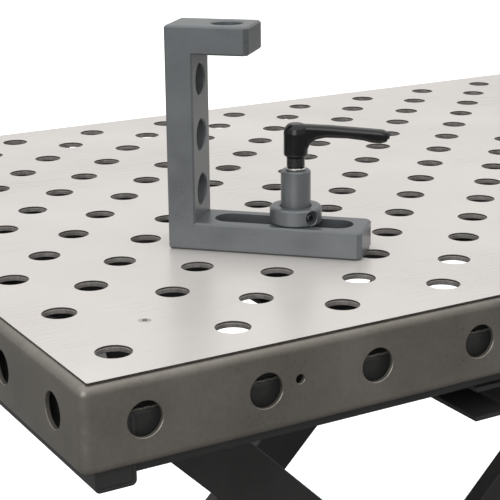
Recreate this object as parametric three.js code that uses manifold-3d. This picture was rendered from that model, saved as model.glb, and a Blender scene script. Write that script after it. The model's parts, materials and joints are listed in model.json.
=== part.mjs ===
// A welding table on a scissor lift: a perforated steel top with skirts, a welded frame under
// it, two pairs of crossing arms, a base with levelling feet, and a clamping square with its bolt.
// Millimetres. Z points up, X runs along the long side, the origin is on the floor at the middle.

import * as THREE from 'three';
import { mergeVertices } from 'three/addons/utils/BufferGeometryUtils.js';
import Module from 'manifold-3d';

const wasm = await Module();
wasm.setup();

// ---------------------------------------------------------------- driving dimensions

const TABLE_LENGTH = 1200;
const TABLE_WIDTH = 800;
const TABLE_HEIGHT = 900;
const GAP = 0.3; // between pieces that rest on or are welded to each other
const PLAY = 0.3; // radial clearance between a shaft and what turns on it

// perforated top
const HOLE_PITCH = 100;
const HOLE_DIAMETER = 28;
const SHEET_THICKNESS = 1.2;
const SHEET_INSET_SIDE = 3.5;
const SHEET_INSET_END = 7.5;
const SHEET_CORNER = 1.5;
const PLATE_THICKNESS = 4;
const SKIRT_WALL = 4;
const SKIRT_HEIGHT = 70;
const SKIRT_CORNER = 9;
const BEND_RADIUS = 8;
const LIP_WIDTH = 6.5;
const SIDE_HOLE_DROP = 35;
const FIXING_HOLE_DIAMETER = 7.5;
const FIXING_HOLE_OFFSET = 29.3; // from the second side hole towards the third
const FIXING_HOLE_DROP = 31.6;
const SCREW_HEAD_DIAMETER = 11;
const SCREW_DIAMETER = 5;
const SCREW_LENGTH = 12;

// frame under the top, its depths counted down from the working surface
const FRAME_DEPTH = 80;
const RAIL_INSET = 10;
const RAIL_WIDTH = 30;
const RAIL_HEIGHT = 50;
const TUBE_WALL = 3;
const END_BEAM_INSET = 12;
const END_BEAM_WIDTH = 33;
const END_BEAM_DEPTH = 87;
const END_BEAM_SIDE_GAP = 7;
const RIB_THICKNESS = 12;
const CROSS_BEAM_REACHES = { left: 288, right: 561 }; // from the upper hinge
const CROSS_BEAM_WIDTH = 40;
const CROSS_BEAM_HEIGHT = 30;
const CHANNEL_WALL = 4;
const LUG_THICKNESS = 10;
const LUG_HEIGHT = 48;

// scissor
const REST_ANGLE = 45; // degrees between the arms and the floor
const ARM_WIDTH = 58;
const ARM_THICKNESS = 20;
const OUTER_ARM_Y = 209; // outside face of the outer arms
const ARM_SPACE = 2; // between an inner and an outer arm
const HINGE_INSET = 89; // from the end of the table to the fixed hinges
const SHAFT_DIAMETER = 25;
const ROLLER_DIAMETER = 40;
const ROLLER_WIDTH = 18;
const ROLLER_SPACE = 4; // from the outer arm's face to a roller
const TRACK_PLAY = 0.3;
const TRACK_WALL = 4;
const UPPER_TRACK_REACH = 551; // from the upper hinge to the track's inner end
const PIN_HEAD_DIAMETER = 36;
const PIN_HEAD_HEIGHT = 5;

// lift cylinder
const LIFT_TUBE_DIAMETER = 30;
const LIFT_TUBE_REACH = 355; // from the lower hinge along the inner arms
const EYE_CLEARANCE = 5; // the rod's eye is open round the lift tube by this much
const EYE_DIAMETER = 60;
const EYE_WIDTH = 26;
const BARREL_PIVOT_X = 119; // from the lower hinge
const BARREL_PIVOT_DROP = 4; // below the lower hinge
const BARREL_DIAMETER = 50;
const BARREL_BORE = 28;
const BARREL_LENGTH = 205;
const BARREL_FLOOR = 30;
const ROD_DIAMETER = 25;
const ROD_ENTRY = 115; // length of rod inside the barrel when the table is at rest
const TRUNNION_DIAMETER = 22;
const TRUNNION_WIDTH = 66;

// base
const BASE_CLEARANCE = 75; // from the floor to the underside of the base
const BASE_END_INSET = 60;
const CROSS_FOOT_WIDTH = 40;
const CROSS_FOOT_LENGTH = 660;
const FOOT_Y = 300;
const FOOT_PAD_DIAMETER = 60;
const FOOT_PAD_HEIGHT = 12;
const FOOT_STEM_DIAMETER = 16;
const FOOT_STEM_TOP = 95;
const FOOT_SOCKET_DEPTH = 42;
const NUT_ACROSS_FLATS = 24;
const NUT_HEIGHT = 10;
const BRIDGE_LENGTH = 190;
const BRIDGE_THICKNESS = 8;
const BRIDGE_START = 42; // from the lower hinge, clear of the lowered arms
const EAR_THICKNESS = 10;
const EAR_HEIGHT = 34;
const EAR_LENGTH = 46;
const PUMP_LENGTH = 46;
const PUMP_INSET = 3; // from the bridge's edge
const PUMP_WIDTH = 80;
const PUMP_HEIGHT = 52;
const PUMP_OFFSET_Y = -88;
const PEDAL_DIAMETER = 14;
const PEDAL_RISE = 45;
const LEVER_ROD_DIAMETER = 8;

// clamping square
const SQUARE_COLUMN = 2.5; // lattice places of the bolt, counted from the corner hole
const SQUARE_ROW = 1.5;
const SQUARE_TURN = -45; // degrees
const SQUARE_DEPTH = 50;
const SQUARE_BAR = 25;
const SQUARE_BASE = 175;
const SQUARE_HEIGHT = 200;
const SQUARE_TOP_ARM = 75;
const SQUARE_BOLT_REACH = 111; // from the leg's outer face to the bolt
const SLOT_START = 37;
const SLOT_END = 163;
const LEG_HOLE_HEIGHTS = [50, 100, 150];
const TOP_HOLE_REACH = 50;

// clamping bolt
const SLEEVE_PLAY = 0.3; // between the sleeve and a hole, all round
const SLEEVE_TOP = 73; // above the working surface
const SLEEVE_DEPTH = 20; // below it
const COLLAR_DIAMETER = 48;
const COLLAR_HEIGHT = 15;
const COLLAR_SCREW_ANGLE = -83;
const COUNTERBORE_DIAMETER = 12.5;
const COUNTERBORE_DEPTH = 5;
const COLLAR_SCREW_DIAMETER = 7.4;
const SPINDLE_DIAMETER = 14;
const NECK_DIAMETER = 16;
const WASHER_DIAMETER = 19;
const WASHER_THICKNESS = 2;
const HUB_BASE = 85;
const HUB_TOP = 115;
const HUB_DIAMETER = 22;
const LEVER_ANGLE = -36;
const LEVER_REACH = 82;
const LEVER_THICKNESS = 12;
const LEVER_SCREW_DIAMETER = 8;

// ---------------------------------------------------------------- places worked out from them

const halfLength = TABLE_LENGTH / 2;
const halfWidth = TABLE_WIDTH / 2;
const plateTop = TABLE_HEIGHT - SHEET_THICKNESS - GAP;
const plateBottom = plateTop - PLATE_THICKNESS;
const skirtBottom = TABLE_HEIGHT - SKIRT_HEIGHT;
const frameBottom = TABLE_HEIGHT - FRAME_DEPTH;
const railTop = frameBottom + RAIL_HEIGHT;
const endBeamOuter = halfLength - END_BEAM_INSET;
const endBeamInner = endBeamOuter - END_BEAM_WIDTH;

const sleeveDiameter = HOLE_DIAMETER - 2 * SLEEVE_PLAY;

const trackInside = ROLLER_DIAMETER + 2 * TRACK_PLAY;
const trackHeight = trackInside + 2 * TRACK_WALL;
const rollerInner = OUTER_ARM_Y + ROLLER_SPACE;
const trackWeb = rollerInner + ROLLER_WIDTH + GAP;
const trackOuter = trackWeb + TRACK_WALL;

const hingeX = -halfLength + HINGE_INSET;
const upperPinZ = frameBottom + trackHeight / 2;
const lowerPinZ = BASE_CLEARANCE + trackHeight / 2;
const armAngle = THREE.MathUtils.degToRad(REST_ANGLE);
const armLength = (upperPinZ - lowerPinZ) / Math.sin(armAngle); // between the pins at its ends
const rollerX = hingeX + armLength * Math.cos(armAngle);
const trackStart = hingeX + UPPER_TRACK_REACH;
const innerArmY = OUTER_ARM_Y - ARM_THICKNESS - ARM_SPACE;

const baseEnd = halfLength - BASE_END_INSET;
const baseTop = BASE_CLEARANCE + trackHeight;
const barrelPivotX = hingeX + BARREL_PIVOT_X;
const barrelPivotZ = lowerPinZ - BARREL_PIVOT_DROP;
const bridgeTop = BASE_CLEARANCE + BRIDGE_THICKNESS;

const latticeColumns = Math.floor(TABLE_LENGTH / HOLE_PITCH);
const latticeRows = Math.floor(TABLE_WIDTH / HOLE_PITCH);
const latticeX = -((latticeColumns - 1) / 2) * HOLE_PITCH;
const latticeY = -((latticeRows - 1) / 2) * HOLE_PITCH;
const boltX = latticeX + SQUARE_COLUMN * HOLE_PITCH;
const boltY = latticeY + SQUARE_ROW * HOLE_PITCH;

// ---------------------------------------------------------------- finishes

const finish = (color, roughness, metalness) => () =>
  new THREE.MeshStandardMaterial({ color, roughness, metalness });

const brushedSheet = finish(0xcdc8c2, 0.4, 0.9);
const bodySteel = finish(0x66625b, 0.5, 0.7);
const blackPaint = finish(0x2e2e2c, 0.6, 0.1);
const blackOxide = finish(0x3a3a3c, 0.45, 0.8);
const brightSteel = finish(0xb8b8b6, 0.3, 0.95);
const nitridedSteel = finish(0x6b6f76, 0.45, 0.7);
const blackHandle = finish(0x121212, 0.25, 0.1);
const pumpRed = finish(0x7a1f1a, 0.45, 0.2);

// ---------------------------------------------------------------- shaping tools

function toSolid(geometry) {
  const bare = geometry.clone();
  bare.deleteAttribute('normal');
  bare.deleteAttribute('uv');
  const merged = mergeVertices(bare, 1e-4);
  return new wasm.Manifold(new wasm.Mesh({
    numProp: 3,
    vertProperties: new Float32Array(merged.attributes.position.array),
    triVerts: new Uint32Array(merged.index.array),
  }));
}

function toGeometry(solid) {
  const mesh = solid.getMesh();
  const geometry = new THREE.BufferGeometry();
  geometry.setAttribute('position', new THREE.BufferAttribute(mesh.vertProperties, 3));
  geometry.setIndex(new THREE.BufferAttribute(mesh.triVerts, 1));
  geometry.computeVertexNormals();
  return geometry;
}

const cut = (body, ...tools) =>
  toGeometry(tools.reduce((solid, tool) => solid.subtract(toSolid(tool)), toSolid(body)));

const join = (body, ...others) =>
  toGeometry(others.reduce((solid, other) => solid.add(toSolid(other)), toSolid(body)));

// A box between two corners.
function block(x0, x1, y0, y1, z0, z1) {
  const geometry = new THREE.BoxGeometry(x1 - x0, y1 - y0, z1 - z0);
  return geometry.translate((x0 + x1) / 2, (y0 + y1) / 2, (z0 + z1) / 2);
}

// A regular polygon. Round holes are drawn round their circle and round bars inside it, so that
// a bar always passes through a hole of its size.
function polygon(diameter, sides, outside, x = 0, y = 0) {
  const radius = diameter / 2 / (outside ? Math.cos(Math.PI / sides) : 1);
  return Array.from({ length: sides }, (_, i) => {
    const angle = (2 * Math.PI * (i + 0.5)) / sides;
    return new THREE.Vector2(x + radius * Math.cos(angle), y + radius * Math.sin(angle));
  });
}

const prism = (outline, height, holes = []) => {
  const shape = new THREE.Shape(outline);
  shape.holes = holes.map((points) => new THREE.Path(points));
  return new THREE.ExtrudeGeometry(shape, { depth: height, bevelEnabled: false });
};

const ROUND = 12;
const bar = (diameter, length) => prism(polygon(diameter, ROUND, false), length);
const bore = (diameter, length, sides = ROUND) => prism(polygon(diameter, sides, true), length);
const ring = (outer, inner, length) =>
  prism(polygon(outer, ROUND, false), length, [polygon(inner, ROUND, true)]);

// Turns a shape drawn up along Z so that it runs along X or along Y.
const alongX = (geometry) => geometry.rotateY(Math.PI / 2);
const alongY = (geometry) => geometry.rotateX(-Math.PI / 2);
// Turns an outline drawn in x and y so that it stands in the X-Z plane, its depth towards -Y.
const upright = (geometry) => geometry.rotateX(Math.PI / 2);

function roundedRectangle(width, height, radius) {
  const x = width / 2;
  const y = height / 2;
  const shape = new THREE.Shape();
  shape.absarc(x - radius, y - radius, radius, 0, Math.PI / 2);
  shape.absarc(-x + radius, y - radius, radius, Math.PI / 2, Math.PI);
  shape.absarc(-x + radius, -y + radius, radius, Math.PI, 1.5 * Math.PI);
  shape.absarc(x - radius, -y + radius, radius, 1.5 * Math.PI, 2 * Math.PI);
  return shape;
}

function boxTube(width, height, wall, length) {
  const rectangle = (w, h) => [[-w, -h], [w, -h], [w, h], [-w, h]]
    .map(([x, y]) => new THREE.Vector2(x / 2, y / 2));
  return prism(rectangle(width, height), length, [rectangle(width - 2 * wall, height - 2 * wall)]);
}

// A channel section standing in x and y: its web is at x = 0 and its flanges reach x = depth.
function channel(depth, height, wall, length) {
  const outline = [
    [0, 0], [depth, 0], [depth, wall], [wall, wall],
    [wall, height - wall], [depth, height - wall], [depth, height], [0, height],
  ].map(([x, y]) => new THREE.Vector2(x, y));
  return prism(outline, length);
}

const table = new THREE.Group();

function add(name, geometry, material, parent = table) {
  const mesh = new THREE.Mesh(geometry, material());
  mesh.name = name;
  parent.add(mesh);
  return mesh;
}

const SIDES = [['front', -1], ['rear', 1]];
const ENDS = [['left', -1], ['right', 1]];

// ---------------------------------------------------------------- perforated top

function screwPlaces() {
  const x = -latticeX - HOLE_PITCH / 2;
  const y = -latticeY - HOLE_PITCH / 2;
  return [[-x, -y], [x, -y], [x, y], [-x, y]];
}

// The main lattice and the holes at the middles of its squares. The four corner middles hold
// screws instead.
function latticePlaces() {
  const places = [];
  for (let i = 0; i < 2 * latticeColumns - 1; i += 1) {
    for (let j = i % 2; j < 2 * latticeRows - 1; j += 2) {
      places.push([latticeX + (i * HOLE_PITCH) / 2, latticeY + (j * HOLE_PITCH) / 2]);
    }
  }
  const isScrew = ([x, y]) => screwPlaces().some(([u, v]) => Math.hypot(x - u, y - v) < 1);
  return places.filter((place) => !isScrew(place));
}

const latticeOutlines = (sides) => latticePlaces().map(([x, y]) =>
  polygon(HOLE_DIAMETER, sides, true, x, y));
const screwOutlines = (diameter) => screwPlaces().map(([x, y]) => polygon(diameter, 8, true, x, y));

function topSheet() {
  const shape = roundedRectangle(
    TABLE_LENGTH - 2 * SHEET_INSET_END, TABLE_WIDTH - 2 * SHEET_INSET_SIDE, SHEET_CORNER);
  shape.holes = [...latticeOutlines(8), ...screwOutlines(SCREW_HEAD_DIAMETER + 2 * PLAY)]
    .map((points) => new THREE.Path(points));
  const options = { depth: SHEET_THICKNESS, bevelEnabled: false, curveSegments: 2 };
  return new THREE.ExtrudeGeometry(shape, options).translate(0, 0, TABLE_HEIGHT - SHEET_THICKNESS);
}

// The body is one folded tray: plate, four skirts, round bends and a short lip turned inwards.
function tableBody() {
  const height = plateTop - skirtBottom;
  const outside = new THREE.ExtrudeGeometry(
    roundedRectangle(TABLE_LENGTH, TABLE_WIDTH, SKIRT_CORNER),
    {
      depth: height - 2 * BEND_RADIUS,
      bevelThickness: BEND_RADIUS,
      bevelSize: BEND_RADIUS,
      bevelOffset: -BEND_RADIUS,
      bevelSegments: 3,
      curveSegments: 3,
    },
  ).translate(0, 0, skirtBottom + BEND_RADIUS);
  const x = halfLength - SKIRT_WALL;
  const y = halfWidth - SKIRT_WALL;
  const inside = block(-x, x, -y, y, skirtBottom + SKIRT_WALL, plateBottom);
  const lipX = halfLength - LIP_WIDTH;
  const lipY = halfWidth - LIP_WIDTH;
  const mouth = block(-lipX, lipX, -lipY, lipY, skirtBottom - 1, plateBottom - 1);

  const plateTools = [...latticeOutlines(6), ...screwOutlines(SCREW_DIAMETER + 2 * PLAY)]
    .map((outline) => prism(outline, PLATE_THICKNESS + 4).translate(0, 0, plateBottom - 2));
  const sideZ = TABLE_HEIGHT - SIDE_HOLE_DROP;
  const sideTools = [];
  for (let i = 0; i < latticeColumns; i += 1) {
    sideTools.push(alongY(bore(HOLE_DIAMETER, TABLE_WIDTH + 2, 8))
      .translate(latticeX + i * HOLE_PITCH, -halfWidth - 1, sideZ));
  }
  for (let j = 0; j < latticeRows; j += 1) {
    sideTools.push(alongX(bore(HOLE_DIAMETER, TABLE_LENGTH + 2, 8))
      .translate(-halfLength - 1, latticeY + j * HOLE_PITCH, sideZ));
  }
  const fixingX = -latticeX - HOLE_PITCH - FIXING_HOLE_OFFSET;
  for (const side of [-1, 1]) {
    sideTools.push(alongY(bore(FIXING_HOLE_DIAMETER, TABLE_WIDTH + 2, 8))
      .translate(side * fixingX, -halfWidth - 1, TABLE_HEIGHT - FIXING_HOLE_DROP));
  }
  return cut(outside, inside, mouth, ...plateTools, ...sideTools);
}

add('top_sheet', topSheet(), brushedSheet);
add('table_body', tableBody(), bodySteel);

// Countersunk screws hold the sheet down, their heads flush with it.
function sheetScrew() {
  const head = bar(SCREW_HEAD_DIAMETER, SHEET_THICKNESS).translate(0, 0, -SHEET_THICKNESS);
  const shank = bar(SCREW_DIAMETER, SCREW_LENGTH).translate(0, 0, -SCREW_LENGTH);
  return join(head, shank);
}
screwPlaces().forEach(([x, y], i) => {
  add(`sheet_screw_${i + 1}`, sheetScrew(), brightSteel).position.set(x, y, TABLE_HEIGHT);
});

// ---------------------------------------------------------------- frame under the top

const railSpan = 2 * (endBeamInner - GAP);
for (const [side, sign] of SIDES) {
  const railY = sign * (halfWidth - RAIL_INSET - RAIL_WIDTH / 2);
  const rail = alongX(boxTube(RAIL_HEIGHT, RAIL_WIDTH, TUBE_WALL, railSpan));
  add(`rail_${side}`, rail, blackPaint)
    .position.set(-railSpan / 2, railY, railTop - RAIL_HEIGHT / 2);

  // The ribs stand between two rows of holes. The upper hinge shaft passes through them.
  const ribY = sign * 0.75 * HOLE_PITCH;
  const rib = block(-railSpan / 2, railSpan / 2, ribY - RIB_THICKNESS / 2,
    ribY + RIB_THICKNESS / 2, frameBottom, plateBottom - GAP);
  const shaftHole = alongY(bore(SHAFT_DIAMETER + 2 * PLAY, RIB_THICKNESS + 2))
    .translate(hingeX, ribY - RIB_THICKNESS / 2 - 1, upperPinZ);
  add(`rib_${side}`, cut(rib, shaftHole), blackPaint);
}

const endBeamSpan = TABLE_WIDTH - 2 * END_BEAM_SIDE_GAP;
const endBeamHeight = END_BEAM_DEPTH - FRAME_DEPTH + RAIL_HEIGHT;
const crossBeamSpan = TABLE_WIDTH - 2 * RAIL_INSET;
for (const [end, sign] of ENDS) {
  const beam = alongY(boxTube(END_BEAM_WIDTH, endBeamHeight, TUBE_WALL, endBeamSpan));
  add(`end_beam_${end}`, beam, blackPaint).position.set(
    sign * (endBeamOuter - END_BEAM_WIDTH / 2), -endBeamSpan / 2, railTop - endBeamHeight / 2);

  const crossBeam = alongY(channel(CROSS_BEAM_WIDTH, CROSS_BEAM_HEIGHT, CHANNEL_WALL, crossBeamSpan));
  const placed = add(`cross_beam_${end}`, crossBeam, blackPaint);
  placed.rotation.z = sign < 0 ? Math.PI : 0;
  placed.position.set(hingeX + CROSS_BEAM_REACHES[end] - sign * (CROSS_BEAM_WIDTH / 2),
    sign * (-crossBeamSpan / 2), frameBottom - GAP);
}

// The upper tracks are channels open towards the middle, between cross beam and end beam.
function track(length) {
  return alongX(channel(trackOuter - rollerInner, trackHeight, TRACK_WALL, length)
    .rotateZ(-Math.PI / 2).translate(-trackHeight / 2, 0, 0));
}
for (const [side, sign] of SIDES) {
  const length = endBeamInner - GAP - trackStart;
  const placed = add(`upper_track_${side}`, track(length), blackPaint);
  placed.rotation.z = sign < 0 ? Math.PI : 0;
  placed.position.set(sign < 0 ? trackStart + length : trackStart,
    sign * trackOuter, upperPinZ);

  const lugEnd = hingeX + LUG_HEIGHT / 2 + SHAFT_DIAMETER / 2;
  const inner = sign * rollerInner;
  const outer = sign * (rollerInner + LUG_THICKNESS);
  const plate = block(-endBeamInner + GAP, lugEnd, Math.min(inner, outer), Math.max(inner, outer),
    upperPinZ - LUG_HEIGHT / 2, upperPinZ + LUG_HEIGHT / 2);
  const hole = alongY(bore(SHAFT_DIAMETER + 2 * PLAY, LUG_THICKNESS + 2))
    .translate(hingeX, Math.min(inner, outer) - 1, upperPinZ);
  add(`upper_lug_${side}`, cut(plate, hole), blackPaint);
}

const crossShaft = (halfSpan) => alongY(bar(SHAFT_DIAMETER, 2 * halfSpan)).translate(0, -halfSpan, 0);
const lugShaftHalf = rollerInner + LUG_THICKNESS + 3;
add('upper_hinge_shaft', crossShaft(lugShaftHalf), brightSteel).position.set(hingeX, 0, upperPinZ);

// ---------------------------------------------------------------- scissor

// An arm lies along +X from the pin at its origin, with round ends and three pin holes. Its
// thickness runs towards +Y.
function arm(extraHoles = []) {
  const radius = ARM_WIDTH / 2;
  const shape = new THREE.Shape();
  shape.absarc(armLength, 0, radius, -Math.PI / 2, Math.PI / 2);
  shape.absarc(0, 0, radius, Math.PI / 2, 1.5 * Math.PI);
  const holes = [[0, SHAFT_DIAMETER], [armLength / 2, SHAFT_DIAMETER], [armLength, SHAFT_DIAMETER],
    ...extraHoles];
  shape.holes = holes.map(([x, diameter]) =>
    new THREE.Path(polygon(diameter + 2 * PLAY, ROUND, true, x, 0)));
  const options = { depth: ARM_THICKNESS, bevelEnabled: false, curveSegments: 6 };
  return upright(new THREE.ExtrudeGeometry(shape, options)).translate(0, ARM_THICKNESS, 0);
}

// Inner arms rise from the lower hinge to the upper rollers.
const innerArms = new THREE.Group();
innerArms.position.set(hingeX, 0, lowerPinZ);
innerArms.rotation.y = -armAngle;
table.add(innerArms);

// Outer arms fall from the upper hinge to the lower rollers.
const outerArms = new THREE.Group();
outerArms.position.set(hingeX, 0, upperPinZ);
outerArms.rotation.y = armAngle;
table.add(outerArms);

const pinEnd = OUTER_ARM_Y + 1;
const centrePinLength = pinEnd - (innerArmY - ARM_THICKNESS) + PIN_HEAD_HEIGHT;
for (const [side, sign] of SIDES) {
  const innerY = sign < 0 ? -innerArmY : innerArmY - ARM_THICKNESS;
  const outerY = sign < 0 ? -OUTER_ARM_Y : OUTER_ARM_Y - ARM_THICKNESS;
  add(`inner_arm_${side}`, arm([[LIFT_TUBE_REACH, LIFT_TUBE_DIAMETER]]), blackPaint, innerArms)
    .position.y = innerY;
  add(`outer_arm_${side}`, arm(), blackPaint, outerArms).position.y = outerY;

  const pin = join(bar(SHAFT_DIAMETER, centrePinLength),
    bar(PIN_HEAD_DIAMETER, PIN_HEAD_HEIGHT).translate(0, 0, centrePinLength - PIN_HEAD_HEIGHT));
  const placed = add(`centre_pin_${side}`, alongY(pin), brightSteel, innerArms);
  placed.rotation.z = sign < 0 ? Math.PI : 0;
  placed.position.set(armLength / 2, sign * (innerArmY - ARM_THICKNESS), 0);
}

// The upper rollers have a short axle each, because the ribs fill the space between the arms.
const rollerShaftHalf = trackWeb - GAP;
const axleStart = innerArmY - ARM_THICKNESS;
for (const [side, sign] of SIDES) {
  const axle = alongY(bar(SHAFT_DIAMETER, rollerShaftHalf - axleStart));
  add(`upper_roller_axle_${side}`, axle, brightSteel, innerArms)
    .position.set(armLength, sign < 0 ? -rollerShaftHalf : axleStart, 0);
}
add('lower_roller_shaft', crossShaft(rollerShaftHalf), brightSteel, outerArms)
  .position.x = armLength;
add('lift_tube', alongY(bar(LIFT_TUBE_DIAMETER, 2 * innerArmY)).translate(0, -innerArmY, 0),
  blackPaint, innerArms).position.x = LIFT_TUBE_REACH;

for (const [level, z] of [['upper', upperPinZ], ['lower', lowerPinZ]]) {
  for (const [side, sign] of SIDES) {
    const roller = alongY(ring(ROLLER_DIAMETER, SHAFT_DIAMETER + 2 * PLAY, ROLLER_WIDTH - GAP));
    const y = sign < 0 ? -rollerInner - ROLLER_WIDTH + GAP : rollerInner;
    add(`${level}_roller_${side}`, roller, brightSteel).position.set(rollerX, y, z);
  }
}

// ---------------------------------------------------------------- base

for (const [side, sign] of SIDES) {
  const length = 2 * (baseEnd - GAP);
  const rail = track(length);
  const hole = alongY(bore(SHAFT_DIAMETER + 2 * PLAY, TRACK_WALL + 2));
  const hingeReach = sign < 0 ? length / 2 - hingeX : hingeX + length / 2;
  hole.translate(hingeReach, -TRACK_WALL - 1, 0);
  const placed = add(`base_rail_${side}`, cut(rail, hole), blackPaint);
  placed.rotation.z = sign < 0 ? Math.PI : 0;
  placed.position.set(sign * (-length / 2), sign * trackOuter, lowerPinZ);
}
add('lower_hinge_shaft', crossShaft(trackOuter + 3), brightSteel).position.set(hingeX, 0, lowerPinZ);

const footX = baseEnd + CROSS_FOOT_WIDTH / 2;
const footPlaces = [[-footX, -FOOT_Y], [footX, -FOOT_Y], [footX, FOOT_Y], [-footX, FOOT_Y]];
for (const [end, sign] of ENDS) {
  const near = sign * baseEnd;
  const far = sign * (baseEnd + CROSS_FOOT_WIDTH);
  const beam = block(Math.min(near, far), Math.max(near, far),
    -CROSS_FOOT_LENGTH / 2, CROSS_FOOT_LENGTH / 2, BASE_CLEARANCE, baseTop);
  const sockets = [-FOOT_Y, FOOT_Y].map((y) => bore(FOOT_STEM_DIAMETER + 2 * PLAY, FOOT_SOCKET_DEPTH + 1)
    .translate(sign * footX, y, BASE_CLEARANCE - 1));
  add(`base_cross_${end}`, cut(beam, ...sockets), blackPaint);
}

footPlaces.forEach(([x, y], i) => {
  const profile = [
    [0, 0], [FOOT_PAD_DIAMETER / 2, 0], [FOOT_PAD_DIAMETER / 2, FOOT_PAD_HEIGHT / 2],
    [FOOT_STEM_DIAMETER, FOOT_PAD_HEIGHT], [FOOT_STEM_DIAMETER / 2, FOOT_PAD_HEIGHT],
    [FOOT_STEM_DIAMETER / 2, FOOT_STEM_TOP], [0, FOOT_STEM_TOP],
  ].map(([radius, z]) => new THREE.Vector2(radius, z));
  const foot = new THREE.LatheGeometry(profile, ROUND).rotateX(Math.PI / 2);
  add(`levelling_foot_${i + 1}`, foot, blackOxide).position.set(x, y, 0);
  const nut = prism(polygon(NUT_ACROSS_FLATS, 6, true), NUT_HEIGHT,
    [polygon(FOOT_STEM_DIAMETER + 2 * PLAY, ROUND, true)]);
  add(`foot_nut_${i + 1}`, nut, brightSteel).position.set(x, y, BASE_CLEARANCE - GAP - NUT_HEIGHT);
});

// The bridge plate joins the two base rails and carries the cylinder's ears and the pump.
const bridgeX = hingeX + BRIDGE_START;
const bridge = block(bridgeX, bridgeX + BRIDGE_LENGTH, -rollerInner + GAP, rollerInner - GAP,
  BASE_CLEARANCE, bridgeTop);
const ears = SIDES.map(([, sign]) => {
  const inner = EYE_WIDTH / 2 + 2;
  const y0 = sign < 0 ? -inner - EAR_THICKNESS : inner;
  return block(barrelPivotX - EAR_LENGTH / 2, barrelPivotX + EAR_LENGTH / 2,
    y0, y0 + EAR_THICKNESS, bridgeTop - 1, barrelPivotZ + EAR_HEIGHT / 2);
});
const earHole = alongY(bore(TRUNNION_DIAMETER + 2 * PLAY, TRUNNION_WIDTH + 4))
  .translate(barrelPivotX, -TRUNNION_WIDTH / 2 - 2, barrelPivotZ);
const swingRoom = alongY(bar(BARREL_DIAMETER + 8, EYE_WIDTH + 3.9))
  .translate(barrelPivotX, -EYE_WIDTH / 2 - 1.95, barrelPivotZ);
add('base_bridge', cut(join(bridge, ...ears), earHole, swingRoom), blackPaint);

// ---------------------------------------------------------------- lift cylinder

const liftPoint = new THREE.Vector2(
  hingeX + LIFT_TUBE_REACH * Math.cos(armAngle), lowerPinZ + LIFT_TUBE_REACH * Math.sin(armAngle));
const cylinderLine = liftPoint.clone().sub(new THREE.Vector2(barrelPivotX, barrelPivotZ));
const cylinder = new THREE.Group();
cylinder.position.set(barrelPivotX, 0, barrelPivotZ);
cylinder.rotation.y = -cylinderLine.angle();
table.add(cylinder);

// The barrel's flat eye sits between the ears and its trunnions turn in them.
const barrelEye = alongY(bar(BARREL_DIAMETER, EYE_WIDTH)).translate(0, -EYE_WIDTH / 2, 0);
const trunnion = alongY(bar(TRUNNION_DIAMETER, TRUNNION_WIDTH)).translate(0, -TRUNNION_WIDTH / 2, 0);
const barrelBody = alongX(bar(BARREL_DIAMETER, BARREL_LENGTH - BARREL_FLOOR)).translate(BARREL_FLOOR, 0, 0);
const barrelNeck = block(0, BARREL_FLOOR + 5, -EYE_WIDTH / 2, EYE_WIDTH / 2, -16, 16);
const barrelBore = alongX(bore(BARREL_BORE, BARREL_LENGTH)).translate(BARREL_FLOOR + 15, 0, 0);
add('cylinder_barrel', cut(join(barrelEye, trunnion, barrelBody, barrelNeck), barrelBore),
  pumpRed, cylinder);

const rodEnd = cylinderLine.length();
const rodStart = BARREL_LENGTH - ROD_ENTRY;
const rod = alongX(bar(ROD_DIAMETER, rodEnd - rodStart)).translate(rodStart, 0, 0);
const rodEye = alongY(bar(EYE_DIAMETER, EYE_WIDTH)).translate(rodEnd, -EYE_WIDTH / 2, 0);
const rodHole = alongY(bore(LIFT_TUBE_DIAMETER + 2 * EYE_CLEARANCE, EYE_WIDTH + 2))
  .translate(rodEnd, -EYE_WIDTH / 2 - 1, 0);
add('piston_rod', cut(join(rod, rodEye), rodHole), brightSteel, cylinder);

// ---------------------------------------------------------------- foot pump

// The pump block stands on the bridge. Its pedal and its release rod reach out over the left
// end of the base, and turn on the block's two sides.
const pumpX = bridgeX + PUMP_INSET + PUMP_LENGTH / 2;
const pumpTop = bridgeTop + GAP + PUMP_HEIGHT;
add('pump_block', block(pumpX - PUMP_LENGTH / 2, pumpX + PUMP_LENGTH / 2,
  PUMP_OFFSET_Y - PUMP_WIDTH / 2, PUMP_OFFSET_Y + PUMP_WIDTH / 2,
  bridgeTop + GAP, pumpTop), pumpRed);

const reach = halfLength + pumpX;
function footLever(diameter, padWidth) {
  const boss = alongY(bar(2.4 * diameter, 1.6 * diameter)).translate(0, -0.8 * diameter, 0);
  const shank = alongX(bar(diameter, reach)).translate(-reach, 0, PEDAL_RISE);
  const post = bar(diameter, PEDAL_RISE + diameter / 2);
  const pad = block(-reach, -reach + 3 * diameter, -padWidth / 2, padWidth / 2,
    PEDAL_RISE - diameter / 2, PEDAL_RISE + diameter / 2);
  return join(boss, post, shank, pad);
}
const pedalZ = pumpTop - PUMP_HEIGHT / 3;
const pedalY = PUMP_OFFSET_Y - PUMP_WIDTH / 2 - GAP - 0.8 * PEDAL_DIAMETER;
add('pump_pedal', footLever(PEDAL_DIAMETER, 24), blackPaint).position.set(pumpX, pedalY, pedalZ);
const releaseY = PUMP_OFFSET_Y + PUMP_WIDTH / 2 + GAP + 0.8 * LEVER_ROD_DIAMETER;
add('release_rod', footLever(LEVER_ROD_DIAMETER, 20), brightSteel)
  .position.set(pumpX, releaseY, pedalZ);

// ---------------------------------------------------------------- clamping square and its bolt

const clamp = new THREE.Group();
clamp.position.set(boltX, boltY, TABLE_HEIGHT);
table.add(clamp);

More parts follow.
